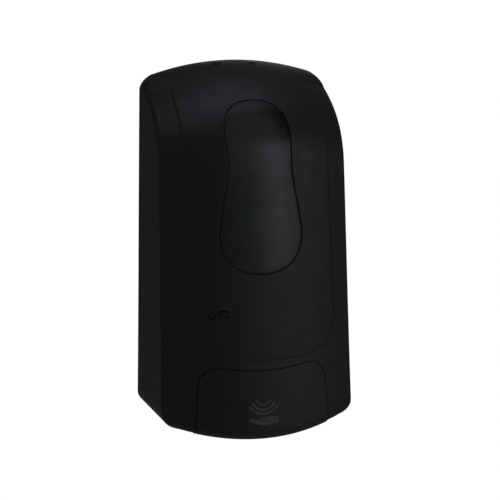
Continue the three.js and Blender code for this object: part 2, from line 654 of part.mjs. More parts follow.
function addRefill() {
  add('refill_bottle', refillBottle(), BOTTLE_PLASTIC);
  add('bottle_collar', barZ(COLLAR.r, PUMP.x, PUMP.out, [COLLAR.zLow, COLLAR.zHigh], 24), PUMP_WHITE);
  const barrel = barZ(PUMP_BARREL.r, PUMP.x, PUMP.out, [PUMP_BARREL.zLow, PUMP_BARREL.zHigh], 20);
  const bore = barZ(PUMP_BARREL.bore, PUMP.x, PUMP.out, [PUMP_BARREL.zLow - 1, PUMP_BARREL.boreTop], 20);
  add('pump_barrel', barrel.subtract(bore), PUMP_WHITE);
  const { r, zTop, zLow, flangeR, flangeLow, flangeHigh } = PLUNGER;
  const plunger = [[0, zLow], [r, zLow], [r, flangeLow], [flangeR, flangeLow], [flangeR, flangeHigh],
    [r, flangeHigh], [r, zTop], [0, zTop]];
  add('pump_plunger', turned(plunger, PUMP.x, PUMP.out), PUMP_WHITE);
  const { rTop, rTip, boreR, boreDepth, lip, zTop: nozzleTop, zTip } = NOZZLE;
  const bottom = [[0, zTip + boreDepth], [boreR, zTip + boreDepth], [boreR, zTip], [rTip, zTip]];
  const spout = [...bottom, [rTip, zTip + lip], [rTop, nozzleTop - 8], [rTop, nozzleTop], [0, nozzleTop]];
  add('nozzle_tip', turned(spout, PUMP.x, PUMP.out), SILICONE);
}

// ---- Drive housing -----------------------------------------------------------------------------

// The housing's underside keeps a constant lift above the arched lower edge of the cover.
function undersideZ(x, out) {
  const behind = BOTTOM_OUT - out;
  return -HALF_HEIGHT + HOUSING.lift + x * x / (2 * BOTTOM_ARCH_R) + UNDERCUT * behind;
}

function archedBlock(half, [out0, out1], lift, zHigh) {
  const columns = 10;
  const box = new THREE.BoxGeometry(columns, 1, 1, columns, 1, 1);
  const position = box.attributes.position;
  for (let i = 0; i < position.count; i += 1) {
    const x = 2 * half * position.getX(i) / columns;
    const out = lerp(out0, out1, 0.5 - position.getY(i));
    const z = position.getZ(i) > 0 ? zHigh : undersideZ(x, out) + lift;
    position.setXYZ(i, x, -out, z);
  }
  return toSolid(box);
}

function driveHousing() {
  const { half, outLow, outHigh, zHigh, wall } = HOUSING;
  const outside = archedBlock(half, [outLow, outHigh], 0, zHigh);
  const inside = archedBlock(half - wall, [outLow - 2, outHigh - wall], wall, zHigh + 1);
  const bayWall = (side) => block(
    side < 0 ? [-BAY.half - wall, -BAY.half] : [BAY.half, BAY.half + wall],
    [BAY.outLow, outHigh],
    [-150, zHigh],
  ).intersect(outside);
  const post = (x, out) => {
    const { halfX, halfOut, zLow, holeLow } = SCREW_POST;
    const column = block([x - halfX, x + halfX], [out - halfOut, out + halfOut], [zLow, zHigh]);
    const hole = barZ(SHELF_SCREW_R + GAP, x, out, [holeLow, zHigh + 1], 10);
    return column.intersect(outside).subtract(hole);
  };
  const posts = SHELF_SCREWS.map(([x, out]) => post(x, out));
  const mouth = block([-BAY.half, BAY.half], [outHigh - MOUTH.depth, outHigh + 2], [MOUTH.zLow, zHigh + 1]);
  const nozzleHole = barZ(NOZZLE_HOLE_R, PUMP.x, PUMP.out, [-150, -120], 20);
  const sensorHole = block([-SENSOR_HOLE.half, SENSOR_HOLE.half], SENSOR_HOLE.outs, [-150, -120]);
  const switchSlot = block(SWITCH_SLOT.x, [outHigh - SWITCH_SLOT.depth, outHigh + 1], SWITCH_SLOT.z);
  const shell = joined([outside.subtract(inside), bayWall(-1), bayWall(1), ...posts]);
  return [mouth, nozzleHole, sensorHole, switchSlot].reduce((body, cut) => body.subtract(cut), shell);
}

function refillShelf() {
  const { half, outLow, outHigh, zLow, zHigh, slotHalf } = SHELF;
  const plate = block([-half, half], [outLow, outHigh], [zLow, zHigh]);
  const seat = barZ(slotHalf, PUMP.x, PUMP.out, [zLow - 1, zHigh + 1], 24);
  const mouth = block([-slotHalf, slotHalf], [PUMP.out, outHigh + 1], [zLow - 1, zHigh + 1]);
  const holes = SHELF_SCREWS.map(([x, out]) => barZ(SHELF_SCREW_R + GAP, x, out, [zLow - 1, zHigh + 1], 10));
  return [seat, mouth, ...holes].reduce((body, cut) => body.subtract(cut), plate);
}

function addHousing() {
  add('drive_housing', driveHousing(), DARK_GREY);
  add('refill_shelf', refillShelf(), CHASSIS);
  SHELF_SCREWS.forEach(([x, out], index) => {
    const top = SHELF.zHigh + GAP;
    const { length, headR, topR, headHigh, domeHigh } = SHELF_SCREW;
    const shank = [[0, top - length], [SHELF_SCREW_R, top - length], [SHELF_SCREW_R, top]];
    const profile = [...shank, [headR, top], [topR, top + headHigh], [0, top + domeHigh]];
    add(`shelf_screw_${index + 1}`, turned(profile, x, out, 12), STEEL);
  });
  add('light_tower', lightTower(), DARK_GREY);
  addLight('drop_light', DROP_LIGHT);
  addLight('battery_light', BATTERY_LIGHT);
}

function lightTower() {
  const body = block(TOWER.x, TOWER.out, TOWER.z);
  const bores = [DROP_LIGHT, BATTERY_LIGHT].map(({ x, z }) => barOut(LIGHT_R + GAP, x, [73, 78], z, 10));
  return bores.reduce((whole, bore) => whole.subtract(bore), body);
}

function addLight(name, { x, z }) {
  add(name, barOut(LIGHT_R, x, LIGHT_OUT, z, 10), CLEAR);
}

// ---- Gear drive -------------------------------------------------------------------------------

function gearOutline(teeth, turn, boreR) {
  const pitchR = MODULE * teeth / 2;
  const step = 2 * Math.PI / teeth;
  const tip = [[-TOOTH_TIP, ADDENDUM], [TOOTH_TIP, ADDENDUM]];
  const corners = [[-TOOTH_ROOT, -DEDENDUM], ...tip, [TOOTH_ROOT, -DEDENDUM]];
  const points = [];
  for (let tooth = 0; tooth < teeth; tooth += 1) {
    corners.forEach(([share, height]) => {
      const angle = turn + (tooth + share) * step;
      const radius = pitchR + height;
      points.push(new THREE.Vector2(radius * Math.cos(angle), radius * Math.sin(angle)));
    });
  }
  const shape = new THREE.Shape(points);
  if (boreR > 0) {
    const bore = new THREE.Path();
    bore.absarc(0, 0, boreR, 0, 2 * Math.PI, true);
    shape.holes.push(bore);
  }
  return shape;
}

function rackOutline() {
  const pitch = Math.PI * MODULE;
  const back = -YOKE.half;
  const low = OUTPUT_AXIS.z - 18;
  const points = [new THREE.Vector2(back, low), new THREE.Vector2(back, low + RACK_TEETH * pitch + 2)];
  const start = OUTPUT_AXIS.z + (RACK_TEETH / 2 - 0.5) * pitch;
  for (let tooth = 0; tooth < RACK_TEETH - 1; tooth += 1) {
    const middle = start - (tooth + 0.5) * pitch;
    points.push(new THREE.Vector2(RACK_PITCH_X + DEDENDUM, middle + TOOTH_ROOT * pitch));
    points.push(new THREE.Vector2(RACK_PITCH_X - ADDENDUM, middle + TOOTH_TIP * pitch));
    points.push(new THREE.Vector2(RACK_PITCH_X - ADDENDUM, middle - TOOTH_TIP * pitch));
    points.push(new THREE.Vector2(RACK_PITCH_X + DEDENDUM, middle - TOOTH_ROOT * pitch));
  }
  points.splice(2, 0, new THREE.Vector2(RACK_PITCH_X + DEDENDUM, low + RACK_TEETH * pitch + 2));
  points.push(new THREE.Vector2(RACK_PITCH_X + DEDENDUM, low));
  return new THREE.Shape(points);
}

function pumpYoke() {
  const { half, zLow, zHigh, forkFrom, forkTo, outHigh } = YOKE;
  const back = block([-half, half], RACK_OUT, [zLow, zHigh]);
  const rack = slab(rackOutline(), RACK_OUT);
  const fork = block([-half, half], [RACK_OUT[1] - 1, outHigh], [forkFrom, forkTo]);
  const slotR = PLUNGER.r + 0.5;
  const slot = joined([
    barZ(slotR, PUMP.x, PUMP.out, [forkFrom - 1, forkTo + 1], 20),
    block([-slotR, slotR], [PUMP.out, outHigh + 1], [forkFrom - 1, forkTo + 1]),
  ]);
  const rodBore = (side) => barZ(GUIDE_ROD.r + RUNNING, side * GUIDE_ROD.x, GUIDE_ROD.out, [-140, -60], 12);
  const rods = [-1, 1].map(rodBore);
  return [slot, ...rods].reduce((body, cut) => body.subtract(cut), joined([back, rack, fork]));
}

function outputGear() {
  const boreR = GEAR_PIN_R + RUNNING;
  const wheel = slab(gearOutline(WHEEL_TEETH, MOTOR_BEARING, boreR), WHEEL_OUT);
  const pinion = slab(gearOutline(LIFT_TEETH, 0, boreR), [LIFT_PINION_OUT[0], WHEEL_OUT[0] + 0.5]);
  return wheel.add(pinion);
}

function addDrive() {
  add('pump_yoke', pumpYoke(), NYLON);
  add('output_gear', outputGear(), NYLON, [OUTPUT_AXIS.x, 0, OUTPUT_AXIS.z]);
  const gapTurn = MOTOR_BEARING + Math.PI + Math.PI / MOTOR_TEETH;
  add('motor_pinion', slab(gearOutline(MOTOR_TEETH, gapTurn, MOTOR.shaftR + RUNNING), WHEEL_OUT), BRASS,
    [MOTOR_AXIS.x, 0, MOTOR_AXIS.z]);
  const shaft = barOut(MOTOR.shaftR, MOTOR_AXIS.x, MOTOR.shaftOut, MOTOR_AXIS.z, 10);
  const can = barOut(MOTOR.r, MOTOR_AXIS.x, MOTOR.out, MOTOR_AXIS.z, 24);
  const nose = barOut(MOTOR.noseR, MOTOR_AXIS.x, MOTOR.noseOut, MOTOR_AXIS.z, 16);
  add('gear_motor', joined([can, nose, shaft]), STEEL);

  const plate = plainBlock(GEAR_PLATE);
  const pinHole = barOut(GEAR_PIN_R + GAP, OUTPUT_AXIS.x, GEAR_PIN_OUT, OUTPUT_AXIS.z, 12);
  add('gear_plate', plate.subtract(pinHole), STEEL);
  add('gear_pin', barOut(GEAR_PIN_R, OUTPUT_AXIS.x, GEAR_PIN_OUT, OUTPUT_AXIS.z, 12), STEEL);
  [['guide_rod_left', -1], ['guide_rod_right', 1]].forEach(([name, side]) => {
    const { r, x, out, zLow, zHigh } = GUIDE_ROD;
    add(name, barZ(r, side * x, out, [zLow, zHigh], 12), STEEL);
  });
}

// ---- Electronics ---------------------------------------------------------------------------

function addElectronics() {
  add('main_board', plainBlock(MAIN_BOARD), BOARD);
  add('board_capacitor', barOut(CAPACITOR.r, CAPACITOR.x, CAPACITOR.out, CAPACITOR.z, 14), DARK_GREY);
  add('board_connector', plainBlock(CONNECTOR), NYLON);
  add('reed_switch', plainBlock(REED_SWITCH), CLEAR);
  add('sensor_board', plainBlock(SENSOR_BOARD), BOARD);
  add('ir_emitter', barZ(SENSOR_EYE.r, -SENSOR_EYE.x, SENSOR_EYE.out, SENSOR_EYE.z, 12), CLEAR);
  add('ir_receiver', barZ(SENSOR_EYE.r, SENSOR_EYE.x, SENSOR_EYE.out, SENSOR_EYE.z, 12), DARK_GREY);
  add('sensor_window', plainBlock(SENSOR_WINDOW), SMOKED);
  add('switch_body', plainBlock(SWITCH_BODY).subtract(plainBlock(SWITCH_CHANNEL)), DARK_GREY);
  add('power_switch_knob', plainBlock(SWITCH_STEM).add(plainBlock(SWITCH_CAP)), NYLON);
}

addCover();
addBackPlate();
addLatch();
addBatteries();
addRefill();
addHousing();
addDrive();
addElectronics();

export default part;
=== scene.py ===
"""Looks of a wall mounted touch-free soap dispenser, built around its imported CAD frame.

Shapes are worked out in millimetres, as in the CAD, and become metres when a mesh is made.
"out" is a distance out from the wall, so a point at out = 20 mm has Y = -0.020 m.
"""
import json
import math
from itertools import product

import bpy
import numpy as np
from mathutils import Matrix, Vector
from mathutils.geometry import delaunay_2d_cdt


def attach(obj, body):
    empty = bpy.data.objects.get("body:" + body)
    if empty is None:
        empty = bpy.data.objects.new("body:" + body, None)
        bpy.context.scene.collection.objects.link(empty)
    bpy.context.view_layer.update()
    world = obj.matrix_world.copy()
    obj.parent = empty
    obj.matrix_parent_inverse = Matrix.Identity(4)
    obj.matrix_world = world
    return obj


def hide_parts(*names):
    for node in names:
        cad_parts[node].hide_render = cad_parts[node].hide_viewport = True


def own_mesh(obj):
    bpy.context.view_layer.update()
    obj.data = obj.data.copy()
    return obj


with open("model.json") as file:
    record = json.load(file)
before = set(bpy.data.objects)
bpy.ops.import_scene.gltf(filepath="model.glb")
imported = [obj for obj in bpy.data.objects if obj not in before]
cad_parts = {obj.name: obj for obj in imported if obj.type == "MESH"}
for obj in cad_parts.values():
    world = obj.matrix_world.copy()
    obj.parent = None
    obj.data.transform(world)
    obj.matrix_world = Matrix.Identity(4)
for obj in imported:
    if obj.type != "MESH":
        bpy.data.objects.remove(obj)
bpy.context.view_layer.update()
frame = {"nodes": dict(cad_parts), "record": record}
MM = 0.001

# ---- Driving dimensions, as in the CAD, in millimetres ----

HALF_HEIGHT = 145
BOTTOM_OUT = 98.5
LEAN = 0.0624
SHOULDER_Z = 65
SHOULDER_RISE_POWER = 2.48
SHOULDER_OUT_POWER = 1.28
BOTTOM_HALF_WIDTH = 79.1
TOP_HALF_WIDTH = 75.1
CROWN_R = 197
CROWN_FADE = 30
TOP_ARCH_R = 210
BOTTOM_ARCH_R = 212
UNDERCUT = 0.072
RIM_OUT = 14
LIP = 2
TOP_CORNER_R = 10.5
BOTTOM_CORNER_R = 10
CREASE_R = 3
SOLE_R = 7
WALL = 2.6
GROOVE = 0.4
FLANGE_FROM = WALL + 0.3
FLANGE_TO = FLANGE_FROM + 1.5
FLANGE = 3
LAMP_FLANGE = 0.8
PLATE_THICK = 3.0
PRINT_DEPTH = 0.05
SOLE_BACK_OUT = 82
KEY_SLOT = {"x": 14, "out": 23, "half_width": 3.2, "half_depth": 1.45}
DROP_LIGHT = {"x": -40.9, "z": -45.2, "width": 5.4, "height": 6.6}
BATTERY_LIGHT = {"x": -31.9, "z": -44.8, "width": 8.2, "height": 4.6}
PIVOT_OUT, PIVOT_Z = 39, -112
PUMP_OUT = 56
CELL = {"low": -7.0, "top": 42.5, "r": 7.1, "pitch": 16.2, "out": 15}
WALL_SCREWS = [(-50, 104), (50, 104), (-50, -46), (50, -46)]
SHELF_SCREWS = [(-57, 13), (57, 13), (-57, 67), (57, 67)]


# ---- Camera, floor and light ----

CAMERA_AZIMUTH = math.radians(-19.8)
CAMERA_ELEVATION = math.radians(9.37)
CAMERA_DISTANCE = 1.5
CAMERA_TARGET = Vector((0.00198, -0.055, -0.00179))
CAMERA_LENS = 137.47
FLOOR_Z = -0.75


def new_object(name, data):
    obj = bpy.data.objects.new(name, data)
    bpy.context.collection.objects.link(obj)
    return obj


def new_mesh(name, points, faces):
    """A mesh in metres from points in millimetres."""
    mesh = bpy.data.meshes.new(name)
    mesh.from_pydata([tuple(p * MM) for p in points], [], faces)
    return mesh


def aim(obj, target):
    obj.rotation_euler = (target - obj.location).to_track_quat("-Z", "Y").to_euler()


def make_camera():
    data = bpy.data.cameras.new("camera")
    data.lens = CAMERA_LENS
    data.sensor_width = 36
    data.clip_start = 0.01
    data.clip_end = 50
    camera = new_object("camera", data)
    back = Vector((
        math.sin(CAMERA_AZIMUTH) * math.cos(CAMERA_ELEVATION),
        -math.cos(CAMERA_AZIMUTH) * math.cos(CAMERA_ELEVATION),
        math.sin(CAMERA_ELEVATION),
    ))
    camera.location = CAMERA_TARGET + back * CAMERA_DISTANCE
    aim(camera, CAMERA_TARGET)
    bpy.context.scene.camera = camera


def area_light(name, place, size, power, colour):
    data = bpy.data.lights.new(name, "AREA")
    data.shape = "RECTANGLE"
    data.size, data.size_y = size
    data.energy = power
    data.color = colour
    light = new_object(name, data)
    light.location = place
    aim(light, LIGHT_TARGET)


WORLD_STRENGTH = 0.0885
SEEN_WHITE = 1.02
LIGHT_TARGET = Vector((0, -0.05, 0))
LIGHTS = {
    "top": {"place": (0.1, -0.27, 1.4), "size": (1.2, 0.65), "power": 2.15, "colour": (0.99, 0.96, 1.14)},
    "near": {"place": (0.95, -1.4, 0.25), "size": (0.8, 1.0), "power": 2.68, "colour": (0.95, 1.0, 1.1)},
    "left": {"place": (-1.35, -1.0, 0.55), "size": (1.0, 1.2), "power": 0.85, "colour": (0.93, 0.99, 1.1)},
    "rear": {"place": (0.5, 1.6, 0.4), "size": (1.2, 1.2), "power": 5, "colour": (1, 1, 1)},
}


def seen_white(tree, other, kind):
    """A shader that the camera sees as plain white, and that lights the object as the other shader does."""
    white = tree.nodes.new(kind)
    white.inputs["Strength"].default_value = SEEN_WHITE
    path = tree.nodes.new("ShaderNodeLightPath")
    mix = tree.nodes.new("ShaderNodeMixShader")
    tree.links.new(path.outputs["Is Camera Ray"], mix.inputs["Fac"])
    tree.links.new(other, mix.inputs[1])
    tree.links.new(white.outputs[0], mix.inputs[2])
    white.inputs["Color"].default_value = (1, 1, 1, 1)
    return mix.outputs["Shader"]


def make_stage():
    bpy.ops.mesh.primitive_plane_add(size=60, location=(0, 0, FLOOR_Z))
    floor = bpy.context.object
    floor.name = "floor"
    material = bpy.data.materials.new("floor_white")
    material.use_nodes = True
    tree = material.node_tree
    shader = tree.nodes["Principled BSDF"]
    shader.inputs["Base Color"].default_value = (0.8, 0.8, 0.8, 1)
    shader.inputs["Roughness"].default_value = 0.9
    shader.inputs["Specular IOR Level"].default_value = 0.1
    white = seen_white(tree, shader.outputs["BSDF"], "ShaderNodeEmission")
    tree.links.new(white, tree.nodes["Material Output"].inputs["Surface"])
    floor.data.materials.append(material)

    world = bpy.data.worlds.new("studio")
    world.use_nodes = True
    tree = world.node_tree
    background = tree.nodes["Background"]
    background.inputs["Color"].default_value = (0.95, 0.985, 1.1, 1)
    background.inputs["Strength"].default_value = WORLD_STRENGTH
    white = seen_white(tree, background.outputs["Background"], "ShaderNodeBackground")
    tree.links.new(white, tree.nodes["World Output"].inputs["Surface"])
    bpy.context.scene.world = world
    bpy.context.scene.view_settings.view_transform = "Standard"

    for name, light in LIGHTS.items():
        area_light(name, **light)


# ---- Materials ----

class Shading:
    """A principled material whose nodes are added one after another."""

    def __init__(self, name):
        self.material = bpy.data.materials.new(name)
        self.material.use_nodes = True
        self.name = name
        self.nodes = self.material.node_tree.nodes
        self.links = self.material.node_tree.links
        self.shader = self.nodes["Principled BSDF"]
        self.coordinates = self.nodes.new("ShaderNodeTexCoord").outputs["Object"]
        self.height = None

    def set(self, **values):
        for key, value in values.items():
            self.shader.inputs[key.replace("_", " ")].default_value = value
        return self

    def noise(self, scale, detail=2.0, roughness=0.5, stretch=None):
        texture = self.nodes.new("ShaderNodeTexNoise")
        texture.inputs["Scale"].default_value = scale
        texture.inputs["Detail"].default_value = detail
        texture.inputs["Roughness"].default_value = roughness
        self.links.new(self.stretched(stretch), texture.inputs["Vector"])
        return texture.outputs["Fac"]

    def stretched(self, stretch):
        if stretch is None:
            return self.coordinates
        mapping = self.nodes.new("ShaderNodeMapping")
        mapping.inputs["Scale"].default_value = stretch
        self.links.new(self.coordinates, mapping.inputs["Vector"])
        return mapping.outputs["Vector"]

    def ramp(self, source, stops):
        ramp = self.nodes.new("ShaderNodeValToRGB")
        elements = ramp.color_ramp.elements
        while len(elements) < len(stops):
            elements.new(0.5)
        for element, (place, colour) in zip(elements, stops):
            element.position = place
            element.color = (*colour, 1)
        self.links.new(source, ramp.inputs["Fac"])
        return ramp.outputs["Color"]

    def span(self, source, low, high, out_low, out_high):
        spread = self.nodes.new("ShaderNodeMapRange")
        for key, value in zip(("From Min", "From Max", "To Min", "To Max"), (low, high, out_low, out_high)):
            spread.inputs[key].default_value = value
        self.links.new(source, spread.inputs["Value"])
        return spread.outputs["Result"]

    def colour(self, source):
        self.links.new(source, self.shader.inputs["Base Color"])

    def rough(self, noise, low, high):
        """Roughness from low to high over the middle of a noise's range."""
        self.links.new(self.span(noise, 0.3, 0.7, low, high), self.shader.inputs["Roughness"])

    def z(self):
        place = self.nodes.new("ShaderNodeSeparateXYZ")
        self.links.new(self.coordinates, place.inputs["Vector"])
        return place.outputs["Z"]

    def bump(self, source, strength, distance):
        """Adds a bump on top of the bumps added before it. Distance is in metres."""
        bump = self.nodes.new("ShaderNodeBump")
        bump.inputs["Strength"].default_value = strength
        bump.inputs["Distance"].default_value = distance
        self.links.new(source, bump.inputs["Height"])
        if self.height is not None:
            self.links.new(self.height, bump.inputs["Normal"])
        self.height = bump.outputs["Normal"]
        self.links.new(self.height, self.shader.inputs["Normal"])


def grey(value, tint=(1, 1, 1)):
    return tuple(value * t for t in tint)


COOL = (0.96, 1.0, 1.08)


def satin_plastic(name, dark, light, roughness, grain, grain_scale):
    """Injection moulded plastic: a fine spark-eroded grain, faint clouding and rubbed patches."""
    m = Shading(name)
    m.colour(m.ramp(m.noise(26, 4, 0.55), [(0.3, dark), (0.72, light)]))
    m.rough(m.noise(90, 5, 0.6), *roughness)
    m.bump(m.noise(grain_scale, 2, 0.6), grain, 0.00005)
    m.bump(m.noise(60, 1, 0.4), 0.03, 0.0004)
    return m


def metal(name, dark, light, roughness, stretch, scale):
    """Drawn or brushed metal: fine lines along one direction, and faint stains."""
    m = Shading(name).set(Metallic=1.0)
    m.colour(m.ramp(m.noise(140, 5, 0.6), [(0.25, dark), (0.75, light)]))
    lines = m.noise(scale, 3, 0.6, stretch)
    m.rough(lines, *roughness)
    m.bump(lines, 0.12, 0.00004)
    return m


def milky_bottle():
    """Milky polyethylene, darker and greener where the soap stands behind it."""
    m = Shading("bottle_plastic").set(Subsurface_Weight=0.12, Subsurface_Scale=0.004)
    wave = m.noise(30, 2, 0.5)
    level = m.nodes.new("ShaderNodeMath")
    level.operation = "MULTIPLY_ADD"
    level.inputs[1].default_value = 0.004
    m.links.new(wave, level.inputs[0])
    m.links.new(m.z(), level.inputs[2])
    m.colour(m.ramp(m.span(level.outputs["Value"], -0.03, 0.115, 0, 1),
                    [(0.0, (0.36, 0.43, 0.38)), (0.62, (0.44, 0.50, 0.45)), (0.66, (0.62, 0.66, 0.63)),
                     (1.0, (0.70, 0.72, 0.71))]))
    m.rough(m.noise(110, 4, 0.6), 0.3, 0.42)
    m.bump(m.noise(900, 2, 0.5), 0.08, 0.0001)
    return m


def printed_cell():
    """A cell's wrapper: a copper coloured band at the top over a dark blue grey body, with fine lines."""
    m = Shading("cell_wrap").set(Metallic=0.35)
    height = m.span(m.z(), CELL["low"] * MM, CELL["top"] * MM, 0, 1)
    bands = [(0.0, (0.02, 0.03, 0.045)), (0.06, (0.03, 0.045, 0.07)), (0.7, (0.035, 0.05, 0.08)),
             (0.71, (0.42, 0.2, 0.09)), (0.965, (0.5, 0.25, 0.11)), (0.975, (0.5, 0.5, 0.5))]
    m.colour(m.ramp(height, bands))
    m.rough(m.noise(400, 4, 0.6), 0.25, 0.4)
    m.bump(m.noise(300, 2, 0.5), 0.05, 0.0001)
    return m


def circuit():
    """Green solder mask with darker and lighter tracks under it, and pale pads."""
    m = Shading("circuit_board")
    cells = m.nodes.new("ShaderNodeTexVoronoi")
    cells.distance = "MANHATTAN"
    cells.inputs["Scale"].default_value = 260
    m.links.new(m.coordinates, cells.inputs["Vector"])
    tracks = [(0.0, (0.35, 0.3, 0.16)), (0.1, (0.3, 0.26, 0.14)), (0.13, (0.01, 0.07, 0.03)),
              (0.5, (0.014, 0.09, 0.04)), (0.8, (0.03, 0.15, 0.07))]
    m.colour(m.ramp(cells.outputs["Distance"], tracks))
    m.rough(m.noise(500, 3, 0.5), 0.3, 0.5)
    m.bump(cells.outputs["Distance"], 0.1, 0.00005)
    return m


def smoked_window():
    """Smoked polycarbonate, polished, with the refill faintly visible behind it."""
    m = Shading("smoked_clear")
    m.colour(m.ramp(m.noise(40, 3, 0.5), [(0.3, (0.0052, 0.006, 0.0056)), (0.7, (0.0062, 0.0071, 0.0067))]))
    m.rough(m.noise(70, 4, 0.55), 0.24, 0.32)
    m.bump(m.noise(50, 1, 0.4), 0.03, 0.0004)
    m.set(Alpha=0.5)
    return m


MATERIALS = {}


def make_materials():
    made = [
        satin_plastic("cover_black", grey(0.0056, COOL), grey(0.0066, COOL), (0.44, 0.54), 0.12, 5200),
        satin_plastic("panel_black", grey(0.0057, COOL), grey(0.0066, COOL), (0.42, 0.5), 0.1, 5800),
        satin_plastic("chassis_grey", grey(0.042, COOL), grey(0.052, COOL), (0.5, 0.62), 0.3, 2600),
        satin_plastic("dark_grey", grey(0.021, COOL), grey(0.027, COOL), (0.46, 0.6), 0.3, 2600),
        satin_plastic("nylon", (0.66, 0.64, 0.57), (0.76, 0.74, 0.67), (0.36, 0.5), 0.1, 1800),
        satin_plastic("pump_white", (0.70, 0.72, 0.72), (0.80, 0.81, 0.82), (0.3, 0.42), 0.08, 2200),
        satin_plastic("silicone", (0.42, 0.45, 0.48), (0.52, 0.55, 0.58), (0.45, 0.6), 0.15, 1500),
        satin_plastic("print_grey", grey(0.065), grey(0.08), (0.5, 0.6), 0.1, 5200),
        satin_plastic("lamp_cover", grey(0.005), grey(0.006), (0.3, 0.4), 0.03, 3000),
        satin_plastic("clear_plastic", (0.24, 0.28, 0.27), (0.32, 0.36, 0.35), (0.08, 0.16), 0.03, 3000),
        metal("steel", (0.42, 0.43, 0.45), (0.56, 0.57, 0.58), (0.2, 0.36), (1, 1, 14), 900),
        metal("spring_steel", (0.36, 0.37, 0.38), (0.5, 0.5, 0.51), (0.22, 0.34), (1, 1, 6), 1600),
        metal("brass", (0.46, 0.29, 0.1), (0.6, 0.41, 0.16), (0.24, 0.4), (8, 1, 1), 900),
        milky_bottle(), printed_cell(), circuit(), smoked_window(),
    ]
    for shading in made:
        MATERIALS[shading.name] = shading.material


make_camera()
make_stage()
make_materials()


# ---- The cover's skin ----

def edge_drop(into, radius):
    """How far a rounded edge has dropped, into mm past the line where it starts."""
    reach = np.clip(into, 0, radius)
    return radius - np.sqrt(np.maximum(radius ** 2 - reach ** 2, 0))


def front_out(z):
    straight = BOTTOM_OUT - LEAN * (z + HALF_HEIGHT)
    climb = np.clip((z - SHOULDER_Z) / (HALF_HEIGHT - SHOULDER_Z), 0, 1)
    least = RIM_OUT + LIP
    return least + (straight - least) * (1 - climb ** SHOULDER_RISE_POWER) ** (1 / SHOULDER_OUT_POWER)


def crown_drop(x, out):
    fade = np.clip((out - RIM_OUT) / CROWN_FADE, 0, 1)
    return fade * (CROWN_R - np.sqrt(CROWN_R ** 2 - x ** 2))


def half_width(z):
    share = (z + HALF_HEIGHT) / (2 * HALF_HEIGHT)
    side = BOTTOM_HALF_WIDTH + (TOP_HALF_WIDTH - BOTTOM_HALF_WIDTH) * share
    top = edge_drop(z - (HALF_HEIGHT - TOP_CORNER_R), TOP_CORNER_R)
    bottom = edge_drop(BOTTOM_CORNER_R - HALF_HEIGHT - z, BOTTOM_CORNER_R)
    return side - top - bottom


def arch_rise(x, z):
    share = (z / HALF_HEIGHT) ** 2 * x * x / 2
    return np.where(z > 0, -share / TOP_ARCH_R, share / BOTTOM_ARCH_R)


def rounded_out(across, level):
    """How far out the front is at a distance across from the middle, at a level of the unarched skin."""
    centre = front_out(level)
    crease = edge_drop(across - (half_width(level) - CREASE_R), CREASE_R)
    sole = edge_drop(SOLE_R - HALF_HEIGHT - level, SOLE_R)
    return np.maximum(centre - crown_drop(across, centre) - crease - sole, RIM_OUT + LIP)


def skin_point(s, t, level):
    """s runs -1 to 1 across, t from the rear (0) to the front (1); arrays in, an array of points out."""
    half = half_width(level)
    front = rounded_out(np.abs(s) * half, level)
    x = s * half
    behind = (front - RIM_OUT) * (1 - t)
    low = np.clip(-level / HALF_HEIGHT, 0, 1) ** 2
    z = level + arch_rise(x, level) + low * UNDERCUT * behind
    return np.stack(np.broadcast_arrays(x, behind - front, z), axis=-1)


def level_of(x, z):
    """The skin level whose front passes through x, z."""
    level = np.array(z, float)
    for _ in range(14):
        level = z - arch_rise(x, level)
    return np.clip(level, -HALF_HEIGHT, HALF_HEIGHT)


# The skin is laid out flat as (u, v): u is the share across times a fixed width, and v the length
# along the middle line from the lower edge, so that distances on it are close to the real ones.

U_SCALE = 77


def spaced_levels(sole_steps, straight_steps, shoulder_steps):
    sole = SOLE_R * (1 - np.cos(math.pi / 2 * np.arange(sole_steps) / sole_steps)) - HALF_HEIGHT
    straight = np.linspace(SOLE_R - HALF_HEIGHT, SHOULDER_Z, straight_steps, endpoint=False)
    turn = np.sin(math.pi / 2 * np.arange(shoulder_steps + 1) / shoulder_steps)
    return np.concatenate([sole, straight, SHOULDER_Z + (HALF_HEIGHT - SHOULDER_Z) * turn])


DENSE_LEVELS = spaced_levels(400, 200, 3000)
DENSE_OUTS = rounded_out(np.zeros_like(DENSE_LEVELS), DENSE_LEVELS)
DENSE_RUN = np.concatenate([[0], np.cumsum(np.hypot(np.diff(DENSE_LEVELS), np.diff(DENSE_OUTS)))])


def laid_flat(points):
    """Points (x, z) on the front to (u, v)."""
    level = level_of(points[:, 0], points[:, 1])
    u = points[:, 0] / half_width(level) * U_SCALE
    return np.stack([u, np.interp(level, DENSE_LEVELS, DENSE_RUN)], axis=-1)


def laid_flat_out(points):
    """Points (x, out) on the shoulder to (u, v), for what is cut from above."""
    flat = []
    top = DENSE_LEVELS[DENSE_LEVELS > 110]
    for x, out in points:
        level = np.interp(-out, -rounded_out(np.full_like(top, abs(x)), top), top)
        flat.append((x / float(half_width(level)) * U_SCALE, np.interp(level, DENSE_LEVELS, DENSE_RUN)))
    return np.array(flat)


def lifted(flat):
    """Points (u, v) back onto the skin, as 3-D points."""
    level = np.interp(flat[:, 1], DENSE_RUN, DENSE_LEVELS)
    return skin_point(flat[:, 0] / U_SCALE, 1.0, level)


# ---- Outlines, as closed loops of (x, z) points ----

def bezier(p0, p1, p2, p3, count):
    t = np.linspace(0, 1, count, endpoint=False)[:, None]
    p0, p1, p2, p3 = (np.array(p, float) for p in (p0, p1, p2, p3))
    return (1 - t) ** 3 * p0 + 3 * (1 - t) ** 2 * t * p1 + 3 * (1 - t) * t * t * p2 + t ** 3 * p3


def bezier_path(start, curves, count):
    """Joined Bezier curves from start; each curve is its two control points and its end."""
    pieces = []
    for c1, c2, end in curves:
        pieces.append(bezier(start, c1, c2, end, count))
        start = end
    return np.concatenate(pieces)


